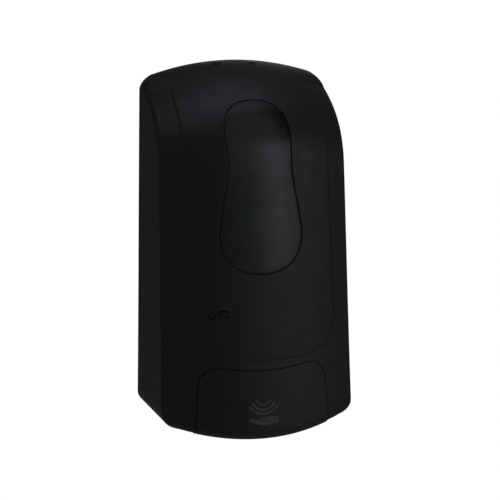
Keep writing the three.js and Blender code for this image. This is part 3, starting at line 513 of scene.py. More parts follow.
def evenly_open(line, spacing, fewest=2, closed=False):
    """The same line with points at an even spacing. A closed line leaves out its end, which is its start."""
    length = np.concatenate([[0], np.cumsum(np.linalg.norm(np.diff(line, axis=0), axis=1))])
    at = np.linspace(0, length[-1], max(fewest, round(length[-1] / spacing)), endpoint=not closed)
    return np.stack([np.interp(at, length, line[:, 0]), np.interp(at, length, line[:, 1])], axis=-1)


def evenly(loop, spacing):
    """The same closed loop with points at an even spacing."""
    return evenly_open(np.concatenate([loop, loop[:1]]), spacing, 8, closed=True)


def moved_line(line, by):
    """An open line moved sideways by a distance, to the left of its direction."""
    along = np.gradient(line, axis=0)
    normal = np.stack([-along[:, 1], along[:, 0]], axis=-1)
    return line + by * normal / np.linalg.norm(normal, axis=1, keepdims=True)


def window_outline(grow):
    top, bottom = 116.8 + grow, -15.2 - grow
    upper, waist, lower = 26.4 + grow, 25.7 + grow, 33.4 + grow
    left = [
        ((-16.2, top), (0.5 - upper, 109.3), (-upper, 93.7)),
        ((-upper - 0.2, 86.7), (-waist, 78.7), (-waist, 70.7)),
        ((-waist, 51.9), (1.2 - lower, 35.4), (-lower, 15.5)),
        ((-lower - 0.2, -5.4), (-20, bottom), (0, bottom)),
    ]
    half = bezier_path((0, top), left, 60)
    right = half[:0:-1] * (-1, 1)
    return np.concatenate([half, [(0, bottom)], right])


def panel_outline(grow):
    """The panel's upper edge and sides, from its left foot over the top to its right foot."""
    middle, shoulder = grow - 90.1, grow - 86.7
    side, foot = 52.8 + grow, 56.8 + grow
    x = np.linspace(side, foot, 4000)
    z = -100.5 - (x - side) / (foot - side) * 59.5
    cut = np.argmin(np.abs(z - arch_rise(x, -HALF_HEIGHT * np.ones_like(x)) + HALF_HEIGHT))
    heel = (x[cut], z[cut])
    curves = [
        ((side - 1.1, -91.2 + grow), (45.4, shoulder + 0.9), (36.5, shoulder)),
        ((36.5 - 33 / 3, middle + 0.2 + (shoulder - middle - 0.2) / 3), (40 / 3, middle + 0.13), (0, middle)),
    ]
    right = np.concatenate([[heel], bezier_path((side, -100.5), curves, 40), [(0, middle)]])
    left = right[-2::-1] * (-1, 1)
    return np.concatenate([right, left])


def drop_outline(grow):
    r, top = DROP_LIGHT["width"] / 2 + grow, DROP_LIGHT["height"] / 2 + grow
    low = r - top
    x, z = DROP_LIGHT["x"], DROP_LIGHT["z"]
    angles = np.linspace(math.pi, 2 * math.pi, 24)
    arc = np.stack([x + r * np.cos(angles), z + low + r * np.sin(angles)], axis=-1)
    t = np.linspace(0, 1, 16)[1:, None]
    start, bend, tip = (np.array(p, float) for p in ((x + r, z + low), (x + r, z + 0.8), (x, z + top)))
    right = (1 - t) ** 2 * start + 2 * t * (1 - t) * bend + t * t * tip
    left = (right * (-1, 1) + (2 * x, 0))[-2::-1]
    return np.concatenate([arc, right, left[:-1]])


def battery_outline(grow):
    r = BATTERY_LIGHT["height"] / 2 + grow
    half = (BATTERY_LIGHT["width"] - BATTERY_LIGHT["height"]) / 2
    x, z = BATTERY_LIGHT["x"], BATTERY_LIGHT["z"]
    angles = np.linspace(-math.pi / 2, math.pi / 2, 16)
    right = np.stack([x + half + r * np.cos(angles), z + r * np.sin(angles)], axis=-1)
    left = np.stack([x - half - r * np.cos(angles), z - r * np.sin(angles)], axis=-1)
    return np.concatenate([right, left])


def slot_outline(side):
    """A key slot, as (x, out)."""
    x, out = side * KEY_SLOT["x"], KEY_SLOT["out"]
    half, depth = KEY_SLOT["half_width"], KEY_SLOT["half_depth"]
    return np.array([(x - half, out + depth), (x + half, out + depth),
                     (x + half, out - depth), (x - half, out - depth)])


# ---- Mesh making ----

def inside(points, loop):
    """Which points lie inside the closed loop."""
    a, b = loop, np.roll(loop, -1, axis=0)
    result = np.zeros(len(points), bool)
    for (ax, az), (bx, bz) in zip(a, b):
        crosses = (az > points[:, 1]) != (bz > points[:, 1])
        if az != bz:
            result ^= crosses & (points[:, 0] < (bx - ax) * (points[:, 1] - az) / (bz - az) + ax)
    return result


def distance_to_line(points, line):
    """The distance from each point to the open line."""
    best = np.full(len(points), 1e9)
    for a, b in zip(line, line[1:]):
        along = b - a
        share = np.clip(((points - a) @ along) / max(along @ along, 1e-12), 0, 1)
        best = np.minimum(best, np.linalg.norm(points - a - share[:, None] * along, axis=1))
    return best


def distance_to(points, loop):
    """The distance from each point to the closed loop."""
    return distance_to_line(points, np.concatenate([loop, loop[:1]]))


def offset(loop, by):
    """The loop moved outwards by a distance, along its own normals."""
    along = np.roll(loop, -1, axis=0) - np.roll(loop, 1, axis=0)
    normal = np.stack([along[:, 1], -along[:, 0]], axis=-1)
    normal /= np.maximum(np.linalg.norm(normal, axis=1, keepdims=True), 1e-9)
    twice_area = np.sum(loop[:, 0] * np.roll(loop[:, 1], -1) - np.roll(loop[:, 0], -1) * loop[:, 1])
    return loop + normal * (by if twice_area > 0 else -by)


def triangulated(border, holes, lines, seeds):
    """Points and triangles that fill the border, leave out the holes and use the lines and seeds."""
    edges, start = [], 0
    for loop in (border, *holes):
        edges += [(start + i, start + (i + 1) % len(loop)) for i in range(len(loop))]
        start += len(loop)
    for line, closed in lines:
        edges += [(start + i, start + i + 1) for i in range(len(line) - 1)]
        if closed:
            edges.append((start + len(line) - 1, start))
        start += len(line)
    points = np.concatenate([border, *holes, *(line for line, _ in lines), seeds])
    made = delaunay_2d_cdt([Vector(p) for p in points], edges, [], 0, 1e-6)
    flat = np.array([tuple(v) for v in made[0]])
    faces = np.array([tuple(f) for f in made[2]])
    middles = flat[faces].mean(axis=1)
    keep = inside(middles, border)
    for hole in holes:
        keep &= ~inside(middles, hole)
    a, b, c = (flat[faces[:, i]] for i in range(3))
    turn = (b - a)[:, 0] * (c - a)[:, 1] - (b - a)[:, 1] * (c - a)[:, 0]
    keep &= np.abs(turn) > 1e-9
    faces = np.where((turn > 0)[:, None], faces, faces[:, ::-1])
    return flat, [tuple(int(i) for i in face) for face in faces[keep]]


SAME_POINT = 2e-4


class Sheet:
    """Points and faces gathered for one mesh. Faces keep their outside towards the viewer."""

    def __init__(self):
        self.points = []
        self.faces = []
        self.count = 0

    def add(self, points, faces):
        self.points.append(np.asarray(points, float))
        self.faces += [tuple(int(i) + self.count for i in face) for face in faces]
        self.count += len(points)

    def add_grid(self, grid, flip=False):
        rows, columns = grid.shape[:2]
        faces = []
        for r, c in product(range(rows - 1), range(columns - 1)):
            at = r * columns + c
            face = (at, at + 1, at + columns + 1, at + columns)
            faces.append(face[::-1] if flip else face)
        self.add(grid.reshape(-1, 3), faces)

    def welded_with(self, values):
        """One array of points with doubles merged, the faces on it, and the larger value at each point."""
        points = np.concatenate(self.points)
        keys = np.round(points / SAME_POINT).astype(np.int64)
        _, first, index = np.unique(keys, axis=0, return_index=True, return_inverse=True)
        index = index.reshape(-1)
        faces = []
        for face in self.faces:
            ids = [int(index[i]) for i in face]
            ids = [v for k, v in enumerate(ids) if v != ids[k - 1]]
            if len(set(ids)) == len(ids) and len(ids) > 2:
                faces.append(tuple(ids))
        merged = np.zeros(len(first))
        np.maximum.at(merged, index, values)
        return points[first], faces, merged


def vertex_normals(points, faces):
    normals = np.zeros_like(points)
    for size in (3, 4):
        group = np.array([f for f in faces if len(f) == size])
        if len(group) == 0:
            continue
        a, b, c = points[group[:, 0]], points[group[:, 1]], points[group[:, 2]]
        cross = np.cross(b - a, c - a)
        if size == 4:
            cross += np.cross(c - a, points[group[:, 3]] - a)
        for corner in range(size):
            np.add.at(normals, group[:, corner], cross)
    return normals / np.maximum(np.linalg.norm(normals, axis=1, keepdims=True), 1e-12)


def thickened(shaped, inner, faces):
    """A closed shell: the shaped outer points, the inner points, and walls along the free edges."""
    count = len(shaped)
    used = {}
    for face in faces:
        for a, b in zip(face, face[1:] + face[:1]):
            used[(a, b)] = used.get((a, b), 0) + 1
    walls = [(b, a, a + count, b + count) for a, b in used if (b, a) not in used]
    back = [tuple(i + count for i in face[::-1]) for face in faces]
    return np.concatenate([shaped, inner]), faces + back + walls


def make_object(name, points, faces, body, slot, replaced=(), sharp=35, material=None):
    """A piece whose material is the one of its slot, unless another is named."""
    mesh = new_mesh(name, points, faces)
    mesh.validate()
    mesh.materials.append(MATERIALS[material or slot])
    mesh.shade_smooth()
    mesh.set_sharp_from_angle(angle=math.radians(sharp))
    obj = new_object(name, mesh)
    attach(obj, body)
    if replaced:
        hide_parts(*replaced)
    return obj


# ---- Pieces of the skin ----

COLUMNS = 84
CREASE_COLUMNS = 5
LEVELS = spaced_levels(6, 60, 40)
ROWS = np.interp(LEVELS, DENSE_LEVELS, DENSE_RUN)
EDGE_R = 0.35                    # rounding of the edges along the grooves
WIDER = 0.12                     # the rounded edges make each groove this much wider on both sides
EDGE_RINGS = (0.1, 0.22, EDGE_R, 0.9, 1.9)
FINE_RINGS = (0.08, 0.2, 0.6)
LAMP_RINGS = (0.12, 0.26, EDGE_R)
RIDGE_RINGS = (-1.2, -0.55, -0.2, 0.2, 0.55, 1.2)
SEED_SPACE = 2.6                 # grid points this close to an edge give way to the rings along it
WINDOW_STEP, PANEL_STEP, LAMP_STEP = 1.3, 1.2, 0.5
NO_POINTS = np.zeros((0, 2))


def column_shares():
    """Shares -1 to 1 across the skin, closer together over the rounded crease."""
    edge = 1 - CREASE_R / U_SCALE
    middle = np.linspace(-edge, edge, COLUMNS + 1)
    turn = np.sin(math.pi / 2 * np.arange(1, CREASE_COLUMNS + 1) / CREASE_COLUMNS)
    outer = edge + (1 - edge) * turn
    return np.concatenate([-outer[::-1], middle, outer])


SHARES = column_shares()
GRID = np.stack(np.meshgrid(SHARES * U_SCALE, ROWS), axis=-1)


def clear_of(seeds, loop, space):
    return seeds[distance_to(seeds, loop) > space]


def above_foot(line):
    """The part of a line that stays clear of the lower edge."""
    return line[line[:, 1] > 0.4]


def edge_rounding(flat, loops, radius=EDGE_R):
    """How far each point drops for being near a groove's edge."""
    drop = np.zeros(len(flat))
    for loop in loops:
        drop = np.maximum(drop, edge_drop(radius - distance_to(flat, loop), radius))
    return drop


def shell(sheet_points, faces, drop, thickness):
    """A shell below points on the skin. Its outside is dropped by drop, its inside by thickness."""
    normal = vertex_normals(sheet_points, faces)
    return thickened(sheet_points - normal * drop[:, None], sheet_points - normal * thickness, faces)


# The front is slightly raised inside a faint ridge that follows the sides.
RIDGE = [
    (-54.4, 132), (-57.3, 123), (-58.2, 114.8), (-58.2, 98.6), (-58.7, 74.6), (-59.6, 43.8),
    (-60.5, 6.3), (-61.6, -32), (-62.1, -51.4), (-61.7, -59), (-59.5, -65.4), (-55.6, -70.9),
    (-50.6, -74.9), (-43.3, -78.4), (-33.4, -80.6), (-17.7, -82),
]
RIDGE_STEP = 0.55
RIDGE_WIDTH = 1.1


def smooth_line(points, spacing):
    """An open line through the points, rounded by averaging, with an even spacing."""
    points = np.array(points, float)
    for _ in range(3):
        a, b = points[:-1], points[1:]
        middle = np.stack([0.75 * a + 0.25 * b, 0.25 * a + 0.75 * b], axis=1).reshape(-1, 2)
        points = np.concatenate([points[:1], middle, points[-1:]])
    return evenly_open(points, spacing)


def ridge_lines():
    """The ridge from the top of the left side, down and across, and up the right side, on the flat."""
    left = smooth_line(RIDGE, 2.2)
    right = left[::-1] * (-1, 1)
    return laid_flat(np.concatenate([left, right]))


def ridge_drop(flat, line):
    """The step down outside the ridge, which fades away at its ends at the top."""
    closed = np.concatenate([line, [line[-1] + (0, 60), line[0] + (0, 60)]])
    away = distance_to_line(flat, line)
    signed = np.where(inside(flat, closed), -away, away)
    step = np.clip(signed / RIDGE_WIDTH + 0.5, 0, 1)
    top = line[0, 1]
    fade_up = np.clip((top + 2 - flat[:, 1]) / 45, 0, 1)
    fade_middle = np.clip((np.abs(flat[:, 0]) - 4) / 40, 0.25, 1)
    low = flat[:, 1] < line[:, 1].min() + 12
    edge = np.clip((U_SCALE - np.abs(flat[:, 0])) / 5, 0, 1)
    return RIDGE_STEP * step * step * (3 - 2 * step) * fade_up * np.where(low, fade_middle, 1) * edge


def tab_outline():
    """The thin slit round the small tab between the key slots, as (x, out)."""
    half, out, tick, slit = 7, 24, 2.2, 0.3
    return np.array([
        (-half, out + slit), (half, out + slit), (half, out - tick), (half - slit, out - tick),
        (half - slit, out), (slit - half, out), (slit - half, out - tick), (-half, out - tick),
    ])


def cover_border():
    """The cover's front patch on the flat: its rim, with the sensor panel's notch in the lower edge."""
    notch = laid_flat(evenly_open(panel_outline(GROOVE + WIDER), PANEL_STEP))
    notch[0, 1] = notch[-1, 1] = 0
    heel = notch[0, 0]
    foot = np.linspace(U_SCALE, heel, 12, endpoint=False)
    right_foot = np.stack([foot, np.zeros_like(foot)], axis=-1)
    left_foot = right_foot[::-1] * (-1, 1)
    left = GRID[1:, 0]
    top = GRID[-1, 1:-1]
    right = GRID[1:, -1][::-1]
    return np.concatenate([right_foot, notch, left_foot, left, top, right]), notch


SIDE_LOW_HALF = 75.5             # the side's lower curl is cut away where the cover is narrower


def build_cover():
    border, notch = cover_border()
    holes = [
        laid_flat(evenly(window_outline(GROOVE + WIDER), WINDOW_STEP)),
        laid_flat(evenly(drop_outline(GROOVE), LAMP_STEP)),
        laid_flat(evenly(battery_outline(GROOVE), LAMP_STEP)),
    ]
    fine_holes = [laid_flat_out(evenly(slot_outline(side), 0.8)) for side in (-1, 1)]
    fine_holes.append(laid_flat_out(evenly(tab_outline(), 0.35)))
    ridge = ridge_lines()
    seeds = GRID[1:-1, 1:-1].reshape(-1, 2)
    seeds = seeds[inside(seeds, border)]
    lines = []
    for hole in holes:
        seeds = clear_of(seeds[~inside(seeds, hole)], hole, SEED_SPACE)
        lines += [(offset(hole, d), True) for d in EDGE_RINGS]
    for hole in fine_holes[:2]:
        seeds = clear_of(seeds[~inside(seeds, hole)], hole, 1.2)
        lines += [(offset(hole, d), True) for d in FINE_RINGS]
    seeds = clear_of(seeds[~inside(seeds, fine_holes[2])], fine_holes[2], 0.7)
    seeds = clear_of(seeds, notch, SEED_SPACE)
    lines += [(above_foot(moved_line(notch, -d)), False) for d in EDGE_RINGS]
    for d in RIDGE_RINGS:
        ring = moved_line(ridge, d)
        lines.append((ring, False))
        seeds = clear_of(seeds, ring, 0.8)
    flat, faces = triangulated(border, holes + fine_holes, lines, seeds)
    front = lifted(flat)
    drop = edge_rounding(flat, holes)
    drop = np.maximum(drop, edge_rounding(flat, [np.concatenate([notch, notch[::-1]])]))
    drop = np.maximum(drop, edge_rounding(flat, fine_holes[:2], 0.2))
    drop = np.maximum(drop, ridge_drop(flat, ridge))

    sheet = Sheet()
    sheet.add(front, faces)
    drops = [drop]
    first = int(np.argmax(half_width(LEVELS) >= SIDE_LOW_HALF))
    backs = np.concatenate([[0, 0.02, 0.05], np.linspace(0.1, 1, 26)])
    levels = LEVELS[first:]
    for side in (-1, 1):
        grid = np.array([skin_point(np.full_like(backs, side), 1 - backs, level) for level in levels])
        sheet.add_grid(grid, flip=side < 0)
        drops.append(np.zeros(grid.shape[0] * grid.shape[1]))
    top = np.full_like(SHARES, HALF_HEIGHT)
    rim = np.array([skin_point(SHARES, 1 - back, top) for back in (0, 0.5, 1)])
    sheet.add_grid(rim)
    drops.append(np.zeros(rim.shape[0] * rim.shape[1]))
    points, faces, drop = sheet.welded_with(np.concatenate(drops))
    closed, faces = shell(points, faces, drop, WALL)
    make_object("cover_shell", closed, faces, "cover", "cover_black", ["front_cover"])


def slab(flat, faces, top, bottom):
    """A slab over a patch of the skin, between two depths below the skin."""
    base = lifted(flat)
    normal = vertex_normals(base, faces)
    return thickened(base - normal * top, base - normal * bottom, faces)


def plate_piece(name, outline, spacing, flange, rings, slot, node, material=None):
    """A plate flush with the cover, with rounded edges, and a flange ring behind it."""
    loop = laid_flat(evenly(outline(-WIDER), spacing))
    seeds = GRID.reshape(-1, 2)
    seeds = clear_of(seeds[inside(seeds, loop)], loop, rings[-1] + 0.6)
    lines = [(offset(loop, -d), True) for d in rings]
    flat, faces = triangulated(loop, [], lines, seeds)
    sheet = Sheet()
    sheet.add(*shell(lifted(flat), faces, edge_rounding(flat, [loop]), PLATE_THICK))
    outer = laid_flat(evenly(outline(flange), spacing))
    inner = laid_flat(evenly(outline(-1.0), spacing))
    flat, faces = triangulated(outer, [inner], [], NO_POINTS)
    sheet.add(*slab(flat, faces, FLANGE_FROM, FLANGE_TO))
    finish_sheet(sheet, name, "cover", slot, [node], material)


def build_panel():
    """The sensor panel, which also wraps under the lower edge."""
    outline = laid_flat(evenly_open(panel_outline(-WIDER), PANEL_STEP))
    outline[0, 1] = outline[-1, 1] = 0
    heel = outline[0, 0]
    inner = np.linspace(-heel + 2, heel - 2, 64)
    edge = np.array([0, 0.12, 0.26, EDGE_R, 1.1])
    across = np.concatenate([edge - heel, inner, (heel - edge)[::-1]])
    foot = np.stack([across, np.zeros_like(across)], axis=-1)
    border = np.concatenate([outline, foot[1:-1]])
    seeds = GRID[1:].reshape(-1, 2)
    seeds = clear_of(seeds[inside(seeds, border)], outline, SEED_SPACE)
    lines = [(above_foot(moved_line(outline, d)), False) for d in EDGE_RINGS]
    flat, faces = triangulated(border, [], lines, seeds)
    edges = [np.concatenate([outline, outline[::-1]])]
    sheet = Sheet()
    sheet.add(lifted(flat), faces)
    drops = [edge_rounding(flat, edges)]
    shares = across / U_SCALE
    foot_level = np.full_like(shares, -HALF_HEIGHT)
    fronts = -skin_point(shares, 1.0, foot_level)[:, 1]
    rows = []
    for step in np.linspace(0, 1, 7):
        outs = fronts + (SOLE_BACK_OUT - fronts) * step
        rows.append(skin_point(shares, (outs - RIM_OUT) / (fronts - RIM_OUT), foot_level))
    grid = np.array(rows)
    sheet.add_grid(grid, flip=True)
    near = edge_drop(EDGE_R - (heel - np.abs(across)), EDGE_R)
    drops.append(np.tile(near, len(rows)))
    points, faces, drop = sheet.welded_with(np.concatenate(drops))
    whole = Sheet()
    whole.add(*shell(points, faces, drop, PLATE_THICK))
    outer = laid_flat(evenly_open(panel_outline(FLANGE), PANEL_STEP))
    inner = laid_flat(evenly_open(panel_outline(-2), PANEL_STEP))
    outer[0, 1] = outer[-1, 1] = inner[0, 1] = inner[-1, 1] = 0
    flat, faces = triangulated(np.concatenate([outer, inner[::-1]]), [], [], NO_POINTS)
    whole.add(*slab(flat, faces, FLANGE_FROM, FLANGE_TO))
    finish_sheet(whole, "panel_shell", "cover", "panel_black", ["sensor_panel"])


# ---- Turned, bevelled and coiled pieces ----

def turn_angles(sides):
    return np.arange(sides) * 2 * math.pi / sides


def level_ring(radius, z, angles):
    return np.stack([radius * np.cos(angles), radius * np.sin(angles), np.full(len(angles), z)], axis=-1)


def band_faces(lower, upper, sides):
    """The faces between two closed rings, given where their points start. Swapping the rings flips the faces."""
    wrapped = [(i, (i + 1) % sides) for i in range(sides)]
    return [(lower + i, lower + j, upper + j, upper + i) for i, j in wrapped]


def tube_faces(rows, sides):
    """The faces of a tube of closed rings, with both of its ends closed."""
    faces = [tuple(range(sides)), tuple((rows - 1) * sides + i for i in reversed(range(sides)))]
    for row in range(rows - 1):
        faces += band_faces((row + 1) * sides, row * sides, sides)
    return faces


def lathe_points(profile, sides=72, ribs=None):
    """A turned piece about the Z axis. The profile runs from the axis back to the axis, as (radius, z).

    ribs is where grip ribs start and end along Z, and how deep they are.
    """
    angles = turn_angles(sides)
    points, faces, ring_at = [], [], []
    for r, z in profile:
        if r == 0:
            ring_at.append([len(points)])
            points.append((0.0, 0.0, z))
            continue
        ring_at.append(list(range(len(points), len(points) + sides)))
        radius = np.full(sides, r)
        if ribs and ribs[0] <= z <= ribs[1]:
            radius = r - ribs[2] * ((np.arange(sides) // 2) % 2)
        points += [(radius[i] * math.cos(a), radius[i] * math.sin(a), z) for i, a in enumerate(angles)]
    for lower, upper in zip(ring_at, ring_at[1:]):
        for i in range(sides):
            pair = (i, (i + 1) % sides)
            corners = [lower[k % len(lower)] for k in pair] + [upper[k % len(upper)] for k in pair[::-1]]
            faces.append(tuple(v for k, v in enumerate(corners) if v != corners[k - 1]))
    points = np.array(points)
    middle = points.mean(axis=0)
    volume = 0.0
    for face in faces:
        p = points[list(face)] - middle
        for k in range(1, len(p) - 1):
            volume += np.dot(p[0], np.cross(p[k], p[k + 1]))
    return points, faces if volume > 0 else [face[::-1] for face in faces]


def fillet(profile, radius, steps=4):
    """Rounds the inner corners of a profile of (radius, z) points."""
    result = [profile[0]]
    for before, corner, after in zip(profile, profile[1:], profile[2:]):
        a, b, c = np.array(before, float), np.array(corner, float), np.array(after, float)
        to_a, to_c = a - b, c - b
        reach = min(radius, 0.45 * np.linalg.norm(to_a), 0.45 * np.linalg.norm(to_c))
        start = b + to_a / max(np.linalg.norm(to_a), 1e-9) * reach
        end = b + to_c / max(np.linalg.norm(to_c), 1e-9) * reach
        for k in range(steps + 1):
            t = k / steps
            result.append(tuple((1 - t) ** 2 * start + 2 * t * (1 - t) * b + t * t * end))
    return result + [profile[-1]]


def stood(points, x, out):
    """Points about a vertical axis, moved to x, out."""
    return points + np.array([x, -out, 0])


def laid_out(points, x, z):
    """Turns a piece so that its own Z axis runs out from the wall."""
    return np.stack([points[:, 0] + x, -points[:, 2], points[:, 1] + z], axis=-1)


def laid_across(points, out, z):
    """Turns a piece so that its own Z axis runs along X."""
    return np.stack([points[:, 2], points[:, 0] - out, points[:, 1] + z], axis=-1)


def turned(name, node, body, slot, radius, profile, x=0, out=PUMP_OUT, sides=72, ribs=None):
    """An upright turned piece that replaces a node. Its inner corners are rounded by radius."""
    points, faces = lathe_points(fillet(profile, radius), sides, ribs)
    make_object(name, stood(points, x, out), faces, body, slot, [node])


def add_block(sheet, xs, outs, zs, r=0.4):
    """A block with bevelled edges, given its three ranges. Each corner becomes one point per face."""
    low = np.array([xs[0], -outs[1], zs[0]], float)
    high = np.array([xs[1], -outs[0], zs[1]], float)
    r = min(r, 0.3 * float((high - low).min()))
    corners, points = {}, []
    for ends in product((0, 1), repeat=3):
        inward = np.where(ends, -1, 1) * r
        for axis in range(3):
            corners[(*ends, axis)] = len(points)
            points.append(np.where(ends, high, low) + inward * (np.arange(3) != axis))
    faces = []

    def corner(axis, side, a, b, face):
        """The point of one corner, given its side along an axis and along the two axes after it."""
        ends = [0, 0, 0]
        ends[axis], ends[(axis + 1) % 3], ends[(axis + 2) % 3] = side, a, b
        return corners[(*ends, face % 3)]

    for axis, side in product(range(3), (0, 1)):
        ring = tuple(corner(axis, side, a, b, axis) for a, b in ((0, 0), (1, 0), (1, 1), (0, 1)))
        faces.append(ring if side else ring[::-1])
    for axis, a, b in product(range(3), (0, 1), (0, 1)):
        quad = tuple(corner(axis, side, a, b, axis + k) for side, k in ((0, 1), (0, 2), (1, 2), (1, 1)))
        faces.append(quad if a != b else quad[::-1])
    for ends in product((0, 1), repeat=3):
        triangle = tuple(corners[(*ends, axis)] for axis in range(3))
        faces.append(triangle if sum(ends) % 2 else triangle[::-1])
    sheet.add(np.array(points), faces)


def finish_sheet(sheet, name, body, slot, nodes=(), material=None):
    make_object(name, np.concatenate(sheet.points), sheet.faces, body, slot, nodes, material=material)


# ---- Refill bottle and pump ----

BOTTLE = {"half": 52, "back": 36, "inset": 9.5, "low": -36, "high": 112, "corner": 13}


def bottle_ring(z, shares):
    """One level ring of the bottle: its front follows the inside of the cover, and its back is flat."""
    r = BOTTLE["corner"]
    end = edge_drop(z - (BOTTLE["high"] - r), r) + edge_drop(BOTTLE["low"] + r - z, r)
    half = BOTTLE["half"] - end
    power = 2 / 4.2
    p = np.sign(np.cos(shares)) * np.abs(np.cos(shares)) ** power
    q = np.sign(np.sin(shares)) * np.abs(np.sin(shares)) ** power
    waist = 1.3 * np.exp(-((z - 34) / 7) ** 2) + 1.3 * np.exp(-((z + 4) / 7) ** 2)
    x = (half - waist) * p
    centre = front_out(z + BOTTLE["inset"] / 2)
    front = centre - crown_drop(x, centre) - BOTTLE["inset"] - end / 2 - 0.8 * waist
    back = BOTTLE["back"] + end * 0.35
    return np.stack([x, -(back + (front - back) * (q + 1) / 2), np.full_like(x, z)], axis=-1)


def build_bottle():
    climb = np.linspace(0, 1, 72)
    levels = BOTTLE["low"] + (BOTTLE["high"] - BOTTLE["low"]) * (1 - np.cos(math.pi * climb)) / 2
    count = 128
    rings = [bottle_ring(z, turn_angles(count)) for z in levels]
    sheet = Sheet()
    sheet.add(np.concatenate(rings), tube_faces(len(levels), count))
    neck = fillet([(0, -40.2), (15, -40.2), (15, -37), (22, -35.4), (22, -32), (0, -32)], 1.6)
    neck_points, neck_faces = lathe_points(neck)
    sheet.add(stood(neck_points, 0, PUMP_OUT), neck_faces)
    finish_sheet(sheet, "refill_bottle_body", "wall_unit", "bottle_plastic", ["refill_bottle"])


def build_pump():
    collar = [(0, -58.6), (21, -58.6), (21, -57), (21, -56.4), (21, -43.4), (21, -42.8), (20, -40.5),
              (0, -40.5)]
    turned("collar_body", "bottle_collar", "wall_unit", "pump_white", 0.5, collar, sides=144,
           ribs=(-56.8, -43, 0.5))
    barrel = [(0, -70), (7.6, -70), (7.6, -84), (12, -84), (12, -81.5), (11, -80.8), (11, -61.5), (12, -60.8),
              (12, -58.9), (0, -58.9)]
    turned("pump_barrel_body", "pump_barrel", "wall_unit", "pump_white", 0.45, barrel)
    plunger = [(0, -108), (6.4, -108), (7, -107.3), (7, -101), (11, -101), (11, -98), (7, -98), (7, -82),
               (0, -82)]
    turned("pump_plunger_body", "pump_plunger", "pump_carriage", "pump_white", 0.4, plunger)
    nozzle = [(0, -136), (2.2, -136), (2.2, -140), (4, -140), (4, -134), (4.6, -128), (6, -116.3),
              (6, -108.3), (0, -108.3)]
    turned("nozzle_body", "nozzle_tip", "pump_carriage", "silicone", 0.5, nozzle)


# ---- Small inner pieces ----

def build_spring():
    """The latch's return spring, built as one fixed coil with a mesh of its own; the real spring shortens as the
    slider goes down.
    """
    wire, radius, turns, low, high = 0.5, 3.0, 5, 103.9, 113.1
    steps, sides = 28 * turns, 10
    angle = np.linspace(0, 2 * math.pi * turns, steps + 1)
    share = np.linspace(0, 1, steps + 1)
    pitch = np.interp(share, [0, 0.18, 0.82, 1], [0, 0.06, 0.94, 1])
    rise = low + (high - low) * pitch
    middle = np.stack([radius * np.cos(angle), -18 + radius * np.sin(angle), rise], axis=-1)
    outward = np.stack([np.cos(angle), np.sin(angle), np.zeros_like(angle)], axis=-1)
    points = []
    for turn in turn_angles(sides):
        points.append(middle + wire * (math.cos(turn) * outward + math.sin(turn) * np.array([0, 0, 1])))
    points = np.stack(points, axis=1).reshape(-1, 3)
    obj = make_object("latch_spring_coil", points, tube_faces(steps + 1, sides), "wall_unit", "spring_steel",
                      ["latch_spring"], 60)
    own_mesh(obj)


def build_cells():
    low, top, r = CELL["low"], CELL["top"], CELL["r"]
    profile = [(0, low), (5.6, low), (5.9, low + 0.3), (r, low + 0.3), (r, top - 1.2), (6.6, top - 1.0),
               (2.7, top - 1.0), (2.7, top), (0, top)]
    for index in range(4):
        turned(f"cell_{index + 1}_body", f"battery_cell_{index + 1}", "wall_unit", "cell_wrap", 0.3, profile,
               (index - 1.5) * CELL["pitch"], CELL["out"], 48)


def build_screws():
    """Pan head screws with a cross recess, in the wall plate and in the refill shelf."""
    for k, (x, z) in enumerate(WALL_SCREWS):
        points, faces = cross_head(4.6, 2.2, 0.3, 3.3, 5.7)
        add_screw(f"wall_screw_{k + 1}", laid_out(points, x, z), faces)
    for k, (x, out) in enumerate(SHELF_SCREWS):
        points, faces = cross_head(3.0, 1.6, -68.9, -58.9, -56.6)
        add_screw(f"shelf_screw_{k + 1}", stood(points, x, out), faces)


def add_screw(node, points, faces):
    make_object(node + "_body", points, faces, "wall_unit", "steel", [node], 30)


def cross_head(head_r, shank_r, low, seat, top):
    """A screw along Z: shank, domed head, and a cross recess sunk into the head."""
    sides = 64
    arm = 0.17 * head_r
    reach = 0.55 * head_r
    thick = top - seat
    rings = [(0, low), (shank_r, low), (shank_r, seat), (head_r, seat), (head_r, seat + 0.35 * thick),
             (0.9 * head_r, seat + 0.7 * thick), (0.7 * head_r, seat + 0.92 * thick)]
    points, faces = lathe_points(rings, sides)
    angles = turn_angles(sides)
    narrow = np.minimum(np.abs(np.cos(angles)), np.abs(np.sin(angles)))
    cross = np.minimum(reach, arm / np.maximum(narrow, 1e-6))
    levels = [(1.0, top - 0.02), (0.92, top - 0.45 * thick)]
    for scale, z in levels:
        points = np.concatenate([points, level_ring(scale * cross, z, angles)])
        faces += band_faces(len(points) - 2 * sides, len(points) - sides, sides)
    points = np.concatenate([points, [[0, 0, levels[-1][1] - 0.3]]])
    last = len(points) - 1
    for i in range(sides):
        faces.append((last - sides + i, last - sides + (i + 1) % sides, last))
    return points, faces


